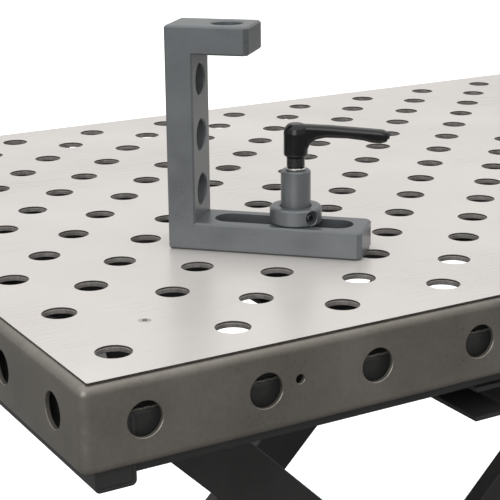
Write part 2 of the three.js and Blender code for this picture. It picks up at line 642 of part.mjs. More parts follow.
// The square is drawn from its leg's outer bottom edge: x along the base, y up.
function clampingSquare() {
  const outline = [
    [0, 0], [SQUARE_BASE, 0], [SQUARE_BASE, SQUARE_BAR], [SQUARE_BAR, SQUARE_BAR],
    [SQUARE_BAR, SQUARE_HEIGHT - SQUARE_BAR], [SQUARE_TOP_ARM, SQUARE_HEIGHT - SQUARE_BAR],
    [SQUARE_TOP_ARM, SQUARE_HEIGHT], [0, SQUARE_HEIGHT],
  ].map(([x, y]) => new THREE.Vector2(x, y));
  const body = upright(prism(outline, SQUARE_DEPTH)).translate(0, SQUARE_DEPTH / 2, 0);
  const legHoles = LEG_HOLE_HEIGHTS.map((z) =>
    alongX(bore(HOLE_DIAMETER, SQUARE_BAR + 2)).translate(-1, 0, z));
  const topHole = bore(HOLE_DIAMETER, SQUARE_BAR + 2)
    .translate(TOP_HOLE_REACH, 0, SQUARE_HEIGHT - SQUARE_BAR - 1);
  const radius = HOLE_DIAMETER / 2;
  const slot = new THREE.Shape();
  slot.absarc(SLOT_END - radius, 0, radius, -Math.PI / 2, Math.PI / 2);
  slot.absarc(SLOT_START + radius, 0, radius, Math.PI / 2, 1.5 * Math.PI);
  const options = { depth: SQUARE_BAR + 2, bevelEnabled: false, curveSegments: 8 };
  const slotTool = new THREE.ExtrudeGeometry(slot, options).translate(0, 0, -1);
  return cut(body, ...legHoles, topHole, slotTool).translate(-SQUARE_BOLT_REACH, 0, GAP);
}
add('clamping_square', clampingSquare(), nitridedSteel, clamp)
  .rotation.z = THREE.MathUtils.degToRad(SQUARE_TURN);

const collarBottom = SQUARE_BAR + 2 * GAP;
const spindleBore = SPINDLE_DIAMETER + 2 * PLAY;
add('bolt_sleeve', ring(sleeveDiameter, spindleBore, SLEEVE_TOP + SLEEVE_DEPTH)
  .translate(0, 0, -SLEEVE_DEPTH), nitridedSteel, clamp);

// The set collar is held on the sleeve by a socket screw sunk in its side.
const collarRadius = COLLAR_DIAMETER / 2;
const screwAxis = collarBottom + COLLAR_HEIGHT / 2;
const turn = THREE.MathUtils.degToRad(COLLAR_SCREW_ANGLE);
const radial = (geometry, start) => alongX(geometry).translate(start, 0, screwAxis).rotateZ(turn);
const screwSeat = collarRadius - COUNTERBORE_DEPTH;
const collar = cut(
  ring(COLLAR_DIAMETER, sleeveDiameter + 2 * PLAY, COLLAR_HEIGHT).translate(0, 0, collarBottom),
  radial(bore(COUNTERBORE_DIAMETER, COUNTERBORE_DEPTH + 1, 12), screwSeat),
  radial(bore(COLLAR_SCREW_DIAMETER + 2 * PLAY, collarRadius, 12), 2));
add('set_collar', collar, nitridedSteel, clamp);

const sleeveRadius = sleeveDiameter / 2;
const collarScrewLength = screwSeat - sleeveRadius + 3;
const socketTool = prism(polygon(4, 6, true), 3).translate(0, 0, collarScrewLength - 2.5);
const collarScrew = cut(prism(polygon(COLLAR_SCREW_DIAMETER, 12, false), collarScrewLength), socketTool);
add('collar_screw', radial(collarScrew, sleeveRadius + PLAY), blackOxide, clamp);

const washerBottom = SLEEVE_TOP + GAP;
add('washer', ring(WASHER_DIAMETER, spindleBore, WASHER_THICKNESS).translate(0, 0, washerBottom),
  brightSteel, clamp);

// The spindle runs down inside the sleeve, widens to the neck and ends in the lever's hub.
const neckBottom = washerBottom + WASHER_THICKNESS + GAP;
const spindleTipDiameter = 10;
const spindleTop = HUB_TOP - 12;
const spindle = join(
  bar(SPINDLE_DIAMETER, SLEEVE_DEPTH + neckBottom).translate(0, 0, -SLEEVE_DEPTH),
  bar(NECK_DIAMETER, HUB_BASE - GAP - neckBottom).translate(0, 0, neckBottom),
  bar(spindleTipDiameter, spindleTop - HUB_BASE + 1).translate(0, 0, HUB_BASE - 1));
add('spindle', spindle, blackOxide, clamp);

// The lever: hub and arm are one casting. Its outline is drawn from the axis, x outwards, y up.
function leverBody() {
  const armTop = HUB_TOP - 2;
  const outline = [
    [0, armTop - 11], [0.35 * LEVER_REACH, armTop - 12], [0.7 * LEVER_REACH, armTop - 14],
    [0.88 * LEVER_REACH, armTop - 17], [LEVER_REACH, armTop - 13], [LEVER_REACH, armTop - 4],
    [0.88 * LEVER_REACH, armTop - 1], [0, armTop],
  ].map(([x, y]) => new THREE.Vector2(x, y));
  const handle = upright(prism(outline, LEVER_THICKNESS)).translate(0, LEVER_THICKNESS / 2, 0);
  const hub = bar(HUB_DIAMETER, HUB_TOP - HUB_BASE).translate(0, 0, HUB_BASE);
  const tipBore = bore(spindleTipDiameter + 2 * PLAY, spindleTop - HUB_BASE + 2).translate(0, 0, HUB_BASE - 1);
  const screwBore = bore(LEVER_SCREW_DIAMETER + 2 * PLAY, 6).translate(0, 0, HUB_TOP - 5);
  return cut(join(hub, handle), tipBore, screwBore);
}
add('clamp_lever', leverBody(), blackHandle, clamp).rotation.z = THREE.MathUtils.degToRad(LEVER_ANGLE);
const leverSocket = prism(polygon(4, 6, true), 3).translate(0, 0, 2);
add('lever_screw', cut(bar(LEVER_SCREW_DIAMETER, 4), leverSocket), blackOxide, clamp)
  .position.z = HUB_TOP - 5 + GAP;

export default table;
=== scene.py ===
# %% [markdown]
# # A lift table for welding
# The real object is a perforated steel table top on a scissor lift, with a clamping square bolted
# to it. The solid model of it is already made and packed. This lesson dresses that model: each
# piece gets its rounded edges, its bends, its turned shapes and its finish, and each one stays on
# the body that it moves with. Loading the frame first gives every place and size that is needed,
# so nothing has to be placed by eye.

# %% Load the frame
import json
import math
import bmesh
import bpy
from mathutils import Matrix, Vector


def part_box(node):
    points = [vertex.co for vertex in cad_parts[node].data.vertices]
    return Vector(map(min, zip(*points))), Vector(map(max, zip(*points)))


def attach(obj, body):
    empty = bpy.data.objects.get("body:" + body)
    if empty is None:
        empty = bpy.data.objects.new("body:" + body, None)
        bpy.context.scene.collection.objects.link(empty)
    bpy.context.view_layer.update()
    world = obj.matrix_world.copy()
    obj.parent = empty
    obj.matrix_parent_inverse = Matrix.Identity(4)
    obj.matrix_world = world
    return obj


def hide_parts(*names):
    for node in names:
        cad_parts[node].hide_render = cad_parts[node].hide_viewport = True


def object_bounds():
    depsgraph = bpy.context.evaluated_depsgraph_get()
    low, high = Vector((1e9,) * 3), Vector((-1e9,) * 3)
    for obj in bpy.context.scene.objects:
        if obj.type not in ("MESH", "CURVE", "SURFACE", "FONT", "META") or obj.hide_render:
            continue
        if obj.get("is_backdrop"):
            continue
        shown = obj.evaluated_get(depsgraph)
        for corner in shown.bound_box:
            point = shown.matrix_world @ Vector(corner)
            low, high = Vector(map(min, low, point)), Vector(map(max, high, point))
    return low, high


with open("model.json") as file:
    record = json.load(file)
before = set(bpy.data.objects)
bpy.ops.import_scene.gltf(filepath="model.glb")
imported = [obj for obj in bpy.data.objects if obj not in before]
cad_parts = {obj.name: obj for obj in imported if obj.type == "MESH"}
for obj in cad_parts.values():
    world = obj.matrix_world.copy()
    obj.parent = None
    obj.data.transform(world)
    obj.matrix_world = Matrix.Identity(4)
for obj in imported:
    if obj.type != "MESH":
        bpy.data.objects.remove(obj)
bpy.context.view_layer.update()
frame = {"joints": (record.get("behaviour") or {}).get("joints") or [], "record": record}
record = frame["record"]
home = {node: body for body, nodes in record["behaviour"]["bodies"].items() for node in nodes}
slot_of = {part["node"]: part["material_slot"] for part in record["subparts"]}
joint = {j["name"]: j for j in frame["joints"]}

# %% [markdown]
# ## Finishes
# Every finish here is steel in some state: brushed, oiled, nitrided, blackened, ground bright or
# painted. Real steel is never one flat colour. It drifts in soft clouds where oil, heat or rolling
# changed it, and it has a fine grain that also scatters the light. So one helper mixes two tones
# through a large noise, adds a fine noise on top, and lets both noises change the roughness. The
# grain can be stretched, which turns dots into brush lines. The pattern reads the object's own
# coordinates, so that it stays on the piece when the table moves.

# %% A helper for finishes
def finish(name, dark, light, metallic, rough, spread=0.08, clouds=9.0, grain=420.0,
           stretch=(1, 1, 1), contrast=0.06, bump=0.02, coat=0.0, specular=0.5):
    """A steel or paint finish that drifts from the dark tone to the light one."""
    material = bpy.data.materials.new(name)
    material.use_nodes = True
    nodes, links = material.node_tree.nodes, material.node_tree.links
    shader = nodes["Principled BSDF"]
    place = nodes.new("ShaderNodeTexCoord")
    lines = nodes.new("ShaderNodeMapping")
    lines.inputs["Scale"].default_value = stretch
    links.new(place.outputs["Object"], lines.inputs["Vector"])

    patches = nodes.new("ShaderNodeTexNoise")
    patches.inputs["Scale"].default_value = clouds
    patches.inputs["Detail"].default_value = 6
    patches.inputs["Roughness"].default_value = 0.6
    links.new(place.outputs["Object"], patches.inputs["Vector"])
    fine = nodes.new("ShaderNodeTexNoise")
    fine.inputs["Scale"].default_value = grain
    fine.inputs["Detail"].default_value = 3
    links.new(lines.outputs["Vector"], fine.inputs["Vector"])

    drift = nodes.new("ShaderNodeMapRange")
    drift.inputs["From Min"].default_value, drift.inputs["From Max"].default_value = 0.32, 0.68
    links.new(patches.outputs["Fac"], drift.inputs["Value"])
    tone = nodes.new("ShaderNodeMix")
    tone.data_type = "RGBA"
    tone.inputs["A"].default_value = (*dark, 1)
    tone.inputs["B"].default_value = (*light, 1)
    links.new(drift.outputs["Result"], tone.inputs["Factor"])
    speck = nodes.new("ShaderNodeMapRange")
    speck.inputs["From Min"].default_value, speck.inputs["From Max"].default_value = 0.25, 0.75
    speck.inputs["To Min"].default_value, speck.inputs["To Max"].default_value = 1 - contrast, 1 + contrast
    links.new(fine.outputs["Fac"], speck.inputs["Value"])
    shade = nodes.new("ShaderNodeVectorMath")
    shade.operation = "SCALE"
    links.new(tone.outputs["Result"], shade.inputs[0])
    links.new(speck.outputs["Result"], shade.inputs["Scale"])
    links.new(shade.outputs["Vector"], shader.inputs["Base Color"])

    both = nodes.new("ShaderNodeMath")
    both.operation = "ADD"
    links.new(patches.outputs["Fac"], both.inputs[0])
    links.new(fine.outputs["Fac"], both.inputs[1])
    gloss = nodes.new("ShaderNodeMapRange")
    gloss.inputs["From Min"].default_value, gloss.inputs["From Max"].default_value = 0.7, 1.3
    gloss.inputs["To Min"].default_value = rough - spread
    gloss.inputs["To Max"].default_value = rough + spread
    links.new(both.outputs["Value"], gloss.inputs["Value"])
    links.new(gloss.outputs["Result"], shader.inputs["Roughness"])
    relief = nodes.new("ShaderNodeBump")
    relief.inputs["Strength"].default_value = bump
    relief.inputs["Distance"].default_value = 0.001
    links.new(fine.outputs["Fac"], relief.inputs["Height"])
    links.new(relief.outputs["Normal"], shader.inputs["Normal"])
    shader.inputs["Metallic"].default_value = metallic
    shader.inputs["Specular IOR Level"].default_value = specular
    shader.inputs["Coat Weight"].default_value = coat
    shader.inputs["Coat Roughness"].default_value = 0.12
    return material

# %% [markdown]
# The top sheet is a thin satin stainless sheet with faint lines along its length, and it shows a
# soft mirror image of what stands on it. The body under it is bare dark steel with a brown tone.
# The square and the bolt are nitrided, which gives a smooth blue grey. The frame is powder coated
# in satin black. Screws and the spindle are oil blackened, pins and rollers are ground bright, the
# lever is a gloss black casting, and the lifting cylinder is painted red.

# %% The finishes
finishes = {
    "brushed_sheet": finish("brushed_sheet", (0.57, 0.545, 0.52), (0.645, 0.62, 0.595), 0.35, 0.30,
                            spread=0.04, clouds=4, grain=60, stretch=(0.25, 16, 16),
                            contrast=0.02, bump=0.004),
    "body_steel": finish("body_steel", (0.140, 0.130, 0.112), (0.190, 0.178, 0.158), 0.55, 0.33,
                         spread=0.06, clouds=14, grain=260, contrast=0.07, bump=0.02),
    "black_paint": finish("black_paint", (0.024, 0.024, 0.0235), (0.033, 0.033, 0.0325), 0.0, 0.36,
                          clouds=18, grain=700, contrast=0.08, bump=0.08, specular=0.32),
    "black_oxide": finish("black_oxide", (0.022, 0.022, 0.023), (0.045, 0.044, 0.045), 0.6, 0.24,
                          clouds=60, grain=900, bump=0.015),
    "bright_steel": finish("bright_steel", (0.50, 0.50, 0.50), (0.66, 0.65, 0.64), 1.0, 0.24,
                           clouds=40, grain=500, stretch=(1, 6, 1), bump=0.02),
    "nitrided_steel": finish("nitrided_steel", (0.104, 0.113, 0.120), (0.132, 0.142, 0.149), 0.40, 0.34,
                             clouds=22, grain=800, contrast=0.025, bump=0.012),
    "black_handle": finish("black_handle", (0.004, 0.004, 0.0043), (0.007, 0.007, 0.0074), 0.0, 0.17,
                           spread=0.05, clouds=50, grain=600, bump=0.02, specular=0.35),
    "pump_red": finish("pump_red", (0.24, 0.012, 0.010), (0.34, 0.020, 0.014), 0.0, 0.34,
                       clouds=16, grain=500, bump=0.06, coat=0.3),
}
sheet_cut = finish("sheet_cut", (0.030, 0.026, 0.023), (0.075, 0.068, 0.060), 0.2, 0.50,
                   clouds=90, grain=900, contrast=0.2, bump=0.05)
plate_cut = finish("plate_cut", (0.20, 0.19, 0.18), (0.32, 0.305, 0.29), 0.35, 0.38,
                   clouds=120, grain=700, stretch=(1, 1, 0.2), contrast=0.2, bump=0.05)
print(len(finishes), "finishes for the slots", sorted(set(slot_of.values())))

# %% [markdown]
# ## How a piece is made ready
# A shape is built in a bmesh. When it is done, doubled points are merged, the faces are turned
# outwards, and the mesh becomes an object. Shading is smooth round the bends, but a bend that meets
# a big flat face needs a hard line there, or the flat face would shade like a cushion. The helper
# finds such edges by comparing how wide the two faces are. The record knows which body a node moves
# with and which finish it has, so the helper looks them up from the node that the piece stands for.

# %% Helpers for every piece
MM = 0.001
made = []


def crisp(bm, hard=28):
    """Smooth shading that stops at hard edges and where a small bend meets a big flat."""
    for face in bm.faces:
        face.smooth = True
    for edge in bm.edges:
        if len(edge.link_faces) != 2:
            edge.smooth = False
            continue
        bend = edge.calc_face_angle(0)
        length = max(edge.calc_length(), 1e-7)
        wide = sorted(face.calc_area() / length for face in edge.link_faces)
        if bend > math.radians(hard) or (bend > math.radians(1) and wide[1] > 4 * wide[0]):
            edge.smooth = False


def piece(name, bm, node, *more, edge=None):
    """Turns a finished shape into an object that stands for its CAD nodes. The edge finish is for
    walls that were cut through the skin."""
    bmesh.ops.remove_doubles(bm, verts=bm.verts, dist=1e-6)
    bmesh.ops.recalc_face_normals(bm, faces=bm.faces)
    crisp(bm)
    mesh = bpy.data.meshes.new(name)
    bm.to_mesh(mesh)
    bm.free()
    obj = bpy.data.objects.new(name, mesh)
    bpy.context.scene.collection.objects.link(obj)
    slot = slot_of[node]
    mesh.materials.append(finishes[slot])
    if edge:
        mesh.materials.append(edge)
    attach(obj, home[node])
    if more != ("extra",):
        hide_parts(node, *more)
    made.append(obj)
    return obj


def pose(origin, direction):
    """The place of a shape drawn along Z that should stand on origin and point along direction."""
    return Matrix.Translation(origin) @ Vector(direction).to_track_quat("Z", "Y").to_matrix().to_4x4()


def merge(bm, shape, place=Matrix()):
    """Moves a small finished shape into place and adds it to a piece."""
    bmesh.ops.remove_doubles(shape, verts=shape.verts, dist=1e-6)
    bmesh.ops.recalc_face_normals(shape, faces=shape.faces)
    bmesh.ops.transform(shape, matrix=place, verts=shape.verts)
    mesh = bpy.data.meshes.new("shape")
    shape.to_mesh(mesh)
    shape.free()
    bm.from_mesh(mesh)
    bpy.data.meshes.remove(mesh)
    return bm


def carve(bm, tool, how="DIFFERENCE", wall=0):
    """Cuts, joins or intersects two closed shapes with a Boolean and gives the result back.
    The new walls get the piece's finish number wall: 0 is its own, 1 is the bare cut edge."""
    for face in tool.faces:
        face.material_index = wall
    pair = []
    for shape in (bm, tool):
        bmesh.ops.remove_doubles(shape, verts=shape.verts, dist=1e-7)
        bmesh.ops.recalc_face_normals(shape, faces=shape.faces)
        mesh = bpy.data.meshes.new("carve")
        for number in range(2):
            mesh.materials.append(None)
        shape.to_mesh(mesh)
        shape.free()
        pair.append(bpy.data.objects.new("carve", mesh))
        bpy.context.scene.collection.objects.link(pair[-1])
    body, other = pair
    step = body.modifiers.new("carve", "BOOLEAN")
    step.solver, step.operation, step.object = "MANIFOLD", how, other
    graph = bpy.context.evaluated_depsgraph_get()
    mesh = bpy.data.meshes.new_from_object(body.evaluated_get(graph))
    result = bmesh.new()
    result.from_mesh(mesh)
    bpy.data.meshes.remove(mesh)
    for obj in pair:
        data = obj.data
        bpy.data.objects.remove(obj)
        bpy.data.meshes.remove(data)
    return result


def corners(bm, test):
    """The edges between two faces that pass a test on their middle, direction and face normals."""
    found = []
    for edge in bm.edges:
        if len(edge.link_faces) == 2:
            a, b = edge.verts
            run = (b.co - a.co).normalized()
            if test((a.co + b.co) / 2, run, [face.normal for face in edge.link_faces]):
                found.append(edge)
    return found


def ease(bm, edges, size, steps=2):
    """Rounds edges, or with one step chamfers them."""
    bmesh.ops.bevel(bm, geom=edges, offset=size, offset_type="OFFSET", segments=steps, profile=0.5,
                    affect="EDGES", material=-1, clamp_overlap=True)
    bm.normal_update()


def ease_all(bm, size, steps=2, over=50):
    """Rounds every outside edge that turns more than so many degrees."""
    bm.normal_update()
    sharp = [e for e in bm.edges if len(e.link_faces) == 2 and e.is_convex
             and e.calc_face_angle(0) > math.radians(over)]
    ease(bm, sharp, size, steps)


def points_of(geometry):
    """The vertices in what an operator gives back."""
    return [item for item in geometry if isinstance(item, bmesh.types.BMVert)]


def faces_of(geometry):
    """The faces in what an operator gives back."""
    return [item for item in geometry if isinstance(item, bmesh.types.BMFace)]


def pushed_outline(outline, depth):
    """A flat outline of (x, z) points pushed out evenly to both sides of Y."""
    bm = bmesh.new()
    flat = bm.faces.new([bm.verts.new((x, -depth / 2, z)) for x, z in outline])
    pushed = bmesh.ops.extrude_face_region(bm, geom=[flat])["geom"]
    bmesh.ops.translate(bm, vec=(0, depth, 0), verts=points_of(pushed))
    bmesh.ops.recalc_face_normals(bm, faces=bm.faces)
    return bm


def moved(shape, place):
    """A shape in its place, as a mesh of its own."""
    return merge(bmesh.new(), shape, place)


def box(low, high, size=0.0, steps=2):
    """A block between two corners, with all its edges rounded."""
    bm = bmesh.new()
    low, high = Vector(low), Vector(high)
    bmesh.ops.create_cube(bm, size=1)
    bmesh.ops.scale(bm, vec=high - low, verts=bm.verts)
    bmesh.ops.translate(bm, vec=(low + high) / 2, verts=bm.verts)
    bm.normal_update()
    if size:
        ease(bm, bm.edges[:], size, steps)
    return bm


def turned(profile, steps=48, closed=False):
    """A turned part: a line of (radius, height) points spun once round Z."""
    bm = bmesh.new()
    line = [bm.verts.new((radius, 0, height)) for radius, height in profile]
    pairs = list(zip(line, line[1:])) + ([(line[-1], line[0])] if closed else [])
    edges = [bm.edges.new(pair) for pair in pairs]
    bmesh.ops.spin(bm, geom=line + edges, cent=(0, 0, 0), axis=(0, 0, 1), angle=2 * math.pi,
                   steps=steps, use_merge=True)
    bmesh.ops.remove_doubles(bm, verts=bm.verts, dist=1e-7)
    bmesh.ops.recalc_face_normals(bm, faces=bm.faces)
    return bm


def pin(radius, length, edge=0.8 * MM, steps=40):
    """A round bar along Z with eased ends."""
    return turned([(0, 0), (radius - edge, 0), (radius, edge), (radius, length - edge),
                   (radius - edge, length), (0, length)], steps)


def ring(outer, inner, length, edge=0.8 * MM, steps=48):
    """A ring along Z whose outer and inner edges are eased."""
    return turned([(inner, edge), (inner + edge, 0), (outer - edge, 0), (outer, edge),
                   (outer, length - edge), (outer - edge, length), (inner + edge, length),
                   (inner, length - edge)], steps, closed=True)


def cutter(radius, low, high, flare=0.0, steps=48):
    """A tool for one round hole from low to high along Z, whose two mouths flare by the chamfer."""
    past = 1 * MM
    wide = radius + flare + (past if flare else 0)
    return turned([(0, low - past), (wide, low - past), (radius, low + flare),
                   (radius, high - flare), (wide, high + past), (0, high + past)], steps)


def hexagon(across, low, high):
    """A six sided bar along Z, measured across its flats."""
    bm = bmesh.new()
    bmesh.ops.create_cone(bm, cap_ends=True, segments=6, radius1=across / math.sqrt(3),
                          radius2=across / math.sqrt(3), depth=high - low)
    bmesh.ops.translate(bm, vec=(0, 0, (low + high) / 2), verts=bm.verts)
    return bm


print("helpers ready")

# %% [markdown]
# ## The top sheet
# The sheet is about 1.19 m by 0.79 m and little more than a millimetre thick. It is laser cut, so its
# holes have a clean, dark edge. The holes lie on a 100 mm grid, with a
# second grid in the middle of its cells. In the four middles nearest to the corners sit flush
# screws. The sheet is a block with rounded corners, and one tool with all the holes is taken away
# from it in one go, because cutting a hundred and sixty times would take far longer.

# %% The hole pattern
sheet_low, sheet_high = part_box("top_sheet")
PITCH = 0.1
HOLE = 28 * MM
columns = [-0.55 + PITCH * i for i in range(12)]
rows = [-0.35 + PITCH * i for i in range(8)]
grid = [(x, y) for x in columns for y in rows]
screw_places = [(x, y) for x in (-0.5, 0.5) for y in (-0.3, 0.3)]
middles = [(x + PITCH / 2, y + PITCH / 2) for x in columns[:-1] for y in rows[:-1]]
for x, y in middles:
    if all(math.hypot(x - a, y - b) > PITCH / 2 for a, b in screw_places):
        grid.append((x, y))
print(len(grid), "holes in the top")


def repeated(tool, places):
    """One mesh with a copy of the tool at each place."""
    mesh = bpy.data.meshes.new("tool")
    tool.to_mesh(mesh)
    tool.free()
    bm = bmesh.new()
    here = Vector()
    for place in places:
        place = Vector(place)
        mesh.transform(Matrix.Translation(place - here))
        here = place
        bm.from_mesh(mesh)
    bpy.data.meshes.remove(mesh)
    return bm


# %% The sheet
def rounded_plate(low, high, corner, edge):
    """A flat block with round corners seen from above and softly broken rims."""
    bm = box(low, high)
    ease(bm, corners(bm, lambda middle, run, normals: abs(run.z) > 0.9), corner, 6)
    ease(bm, corners(bm, lambda middle, run, normals: abs(run.z) < 0.1 and
                     max(abs(n.z) for n in normals) > 0.9 and min(abs(n.z) for n in normals) < 0.1),
         edge, 2)
    return bm


sheet = rounded_plate(sheet_low, sheet_high, 1.4 * MM, 0.12 * MM)
for face in sheet.faces:
    if abs(face.normal.z) < 0.5:
        face.material_index = 1
holes = repeated(cutter(HOLE / 2, sheet_low.z, sheet_high.z, 0.15 * MM),
                 [(x, y, 0) for x, y in grid])
sheet = carve(sheet, holes, wall=1)
sinks = repeated(turned([(0, sheet_low.z - MM), (2.7 * MM, sheet_low.z - MM),
                         (2.7 * MM, sheet_low.z + 0.1 * MM), (5.7 * MM, sheet_high.z),
                         (5.7 * MM, sheet_high.z + MM), (0, sheet_high.z + MM)], 32),
                 [(x, y, 0) for x, y in screw_places])
sheet = carve(sheet, sinks)
print("sheet", len(sheet.faces), "faces")
piece("sheet", sheet, "top_sheet", edge=sheet_cut)

# %% [markdown]
# The corner screws are countersunk socket screws. The head is turned and a six sided socket is cut
# in it, and it sits a hair below the sheet so that nothing catches on it.

# %% The flush screws
for number in range(1, 5):
    low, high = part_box(f"sheet_screw_{number}")
    middle = (low + high) / 2
    top = high.z - 0.15 * MM
    screw = turned([(0, low.z), (1.9 * MM, low.z), (2.4 * MM, low.z + 0.6 * MM),
                    (2.4 * MM, top - 3 * MM), (5.3 * MM, top - 0.3 * MM), (5.1 * MM, top), (0, top)], 32)
    screw = carve(screw, hexagon(4 * MM, top - 1.8 * MM, top + MM))
    bmesh.ops.translate(screw, vec=(middle.x, middle.y, 0), verts=screw.verts)
    piece(f"flush_screw_{number}", screw, f"sheet_screw_{number}")
print("4 flush screws")

# %% [markdown]
# ## The table body
# The body is one plate folded down on all four sides, with welded and ground corners, and its lower
# rim is folded in a little. The shape starts as a block. Its upright corners and its top rim are
# rounded, the bottom is inset to leave the folded lip, the middle is deleted, and the shell gets
# its 4 mm wall inwards. The grid of holes continues through the plate, and each side wall has its
# own row of holes.

# %% The folded shell
body_low, body_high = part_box("table_body")
WALL = 4 * MM
body = box(body_low, body_high)
ease(body, corners(body, lambda middle, run, normals: abs(run.z) > 0.9), 8.2 * MM, 8)
ease(body, corners(body, lambda middle, run, normals: abs(run.z) < 0.1 and
                   max(n.z for n in normals) > 0.9 and min(n.z for n in normals) < 0.1), 7.6 * MM, 8)
floor_face = [f for f in body.faces if f.normal.z < -0.9]
bmesh.ops.inset_region(body, faces=floor_face, thickness=6.5 * MM, use_even_offset=True)
bmesh.ops.delete(body, geom=[f for f in body.faces if f.normal.z < -0.9 and f.calc_area() > 0.5],
                 context="FACES")
body.normal_update()
ease(body, corners(body, lambda middle, run, normals: min(n.z for n in normals) < -0.9 and
                   max(n.z for n in normals) > -0.1), 6.1 * MM, 6)
bmesh.ops.solidify(body, geom=body.faces[:], thickness=WALL)
body.normal_update()
print("shell", len(body.faces), "faces, volume", round(body.calc_volume() * 1e6), "cm3")

# %% The holes of the body
plate_holes = repeated(cutter(HOLE / 2, body_high.z - WALL, body_high.z, 0.5 * MM, 40),
                       [(x, y, 0) for x, y in grid])
body = carve(body, plate_holes, wall=1)
side_z = 0.865
fixing_x, fixing_z = 0.4207, 0.8684
out_x, out_y = body_high.x, body_high.y
side_holes = bmesh.new()
for sign in (-1, 1):
    for x in columns:
        merge(side_holes, cutter(HOLE / 2, 0, WALL, 0.6 * MM),
              pose((x, sign * (out_y - WALL), side_z), (0, sign, 0)))
    for y in rows:
        merge(side_holes, cutter(HOLE / 2, 0, WALL, 0.6 * MM),
              pose((sign * (out_x - WALL), y, side_z), (sign, 0, 0)))
    for x in (-fixing_x, fixing_x):
        merge(side_holes, cutter(3.75 * MM, 0, WALL, 0.4 * MM, 24),
              pose((x, sign * (out_y - WALL), fixing_z), (0, sign, 0)))
body = carve(body, side_holes)
print("body", len(body.faces), "faces")
piece("body_shell", body, "table_body", edge=plate_cut)

# %% [markdown]
# ## The welded frame under the top
# The plate is stiffened by square and rectangular tubes and by channels bent from sheet. Such
# profiles have the same section along their whole length, with rounded outside edges. So one helper
# takes the box of a node, opens its ends, and for a channel one side too, rounds the long edges and
# gives the skin its wall. That is much closer to rolled steel than a solid bar with a hole in it.

# %% Tubes and channels
def profile_bar(low, high, axis, wall, corner, open_side=None):
    """A tube, or a channel open towards open_side, as long as its box along the axis."""
    bm = box(low, high)
    gone = [f for f in bm.faces if abs(f.normal[axis]) > 0.9]
    if open_side:
        gone += [f for f in bm.faces if f.normal.dot(Vector(open_side)) > 0.9]
    bmesh.ops.delete(bm, geom=gone, context="FACES")
    along = [e for e in bm.edges if len(e.link_faces) == 2]
    ease(bm, along, corner, 4)
    bmesh.ops.solidify(bm, geom=bm.faces[:], thickness=wall)
    bm.normal_update()
    return bm


for side in ("front", "rear"):
    rail = profile_bar(*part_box(f"rail_{side}"), 0, 3 * MM, 4.5 * MM)
    piece(f"tube_rail_{side}", rail, f"rail_{side}")
for end in ("left", "right"):
    low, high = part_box(f"end_beam_{end}")
    beam = profile_bar(low, high, 1, 3 * MM, 4 * MM)
    inset, cap = 2.9 * MM, 3 * MM
    for y in (low.y + 0.3 * MM, high.y - 0.3 * MM - cap):
        merge(beam, box((low.x + inset, y, low.z + inset),
                        (high.x - inset, y + cap, high.z - inset), 0.5 * MM))
    piece(f"tube_end_{end}", beam, f"end_beam_{end}")
    outward = -1 if end == "left" else 1
    beam = profile_bar(*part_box(f"cross_beam_{end}"), 1, 4 * MM, 6 * MM, (outward, 0, 0))
    piece(f"channel_cross_{end}", beam, f"cross_beam_{end}")
for side, sign in (("front", -1), ("rear", 1)):
    track = profile_bar(*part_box(f"upper_track_{side}"), 0, 4 * MM, 5.5 * MM, (0, -sign, 0))
    piece(f"upper_run_{side}", track, f"upper_track_{side}")
print(len(made), "pieces so far")

# %% [markdown]
# The ribs and the lugs are flat bars on edge with their corners broken by a grinder. The lugs, and
# the ribs where they cross it, are bored for the shaft that the scissor hangs on.

# %% Ribs and lugs
pivot = {name: Vector(joint[name]["pos_m"]) for name in joint if "pos_m" in joint[name]}
top_hinge = pivot["top_level"]
low_hinge = pivot["lift"]
SHAFT = 12.5 * MM


def across(middle, y0, y1, shape):
    """Lays a shape that was drawn along Z from zero between two values of Y."""
    bmesh.ops.transform(shape, matrix=pose((middle.x, y0, middle.z), (0, 1, 0)), verts=shape.verts)
    return shape


for side in ("front", "rear"):
    for node, kind in ((f"rib_{side}", "rib"), (f"upper_lug_{side}", "lug")):
        low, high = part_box(node)
        flat = box(low, high, 1 * MM, 2)
        bore = across(top_hinge, low.y, high.y, cutter(SHAFT + 0.15 * MM, 0, high.y - low.y, 0.8 * MM, 40))
        piece(f"{kind}_{side}", carve(flat, bore), node)
print("ribs and lugs drilled")

# %% [markdown]
# ## The scissor
# Each arm is a flat bar with round ends, laser cut from thick plate, with its rims broken. A block
# as wide as the bar gets its four end edges rounded by almost half its width, which gives the round
# ends, and is then turned to its angle. The holes for the pins come last. Inner arms run from the
# fixed lower hinge to the sliding top, outer arms the other way.

# %% The arms
centre = pivot["scissor_centre"]
half_span = (centre - low_hinge).length
ARM_WIDTH = 58 * MM


def arm(node, start, finish_point, bores):
    """A flat bar with round ends between two pin centres, drilled where pins pass through."""
    low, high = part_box(node)
    run = finish_point - start
    bm = box((-ARM_WIDTH / 2, low.y, -ARM_WIDTH / 2), (run.length + ARM_WIDTH / 2, high.y, ARM_WIDTH / 2))
    ease(bm, corners(bm, lambda middle, way, normals: abs(way.y) > 0.9), ARM_WIDTH / 2 - 0.1 * MM, 14)
    ease_all(bm, 1.6 * MM, 2)
    turn = math.atan2(run.z, run.x)
    bmesh.ops.transform(bm, matrix=Matrix.Translation((start.x, 0, start.z)) @ Matrix.Rotation(-turn, 4, "Y"),
                        verts=bm.verts)
    for at, radius in bores:
        bm = carve(bm, across(at, low.y, high.y, cutter(radius, 0, high.y - low.y, 0.8 * MM, 40)))
    return bm


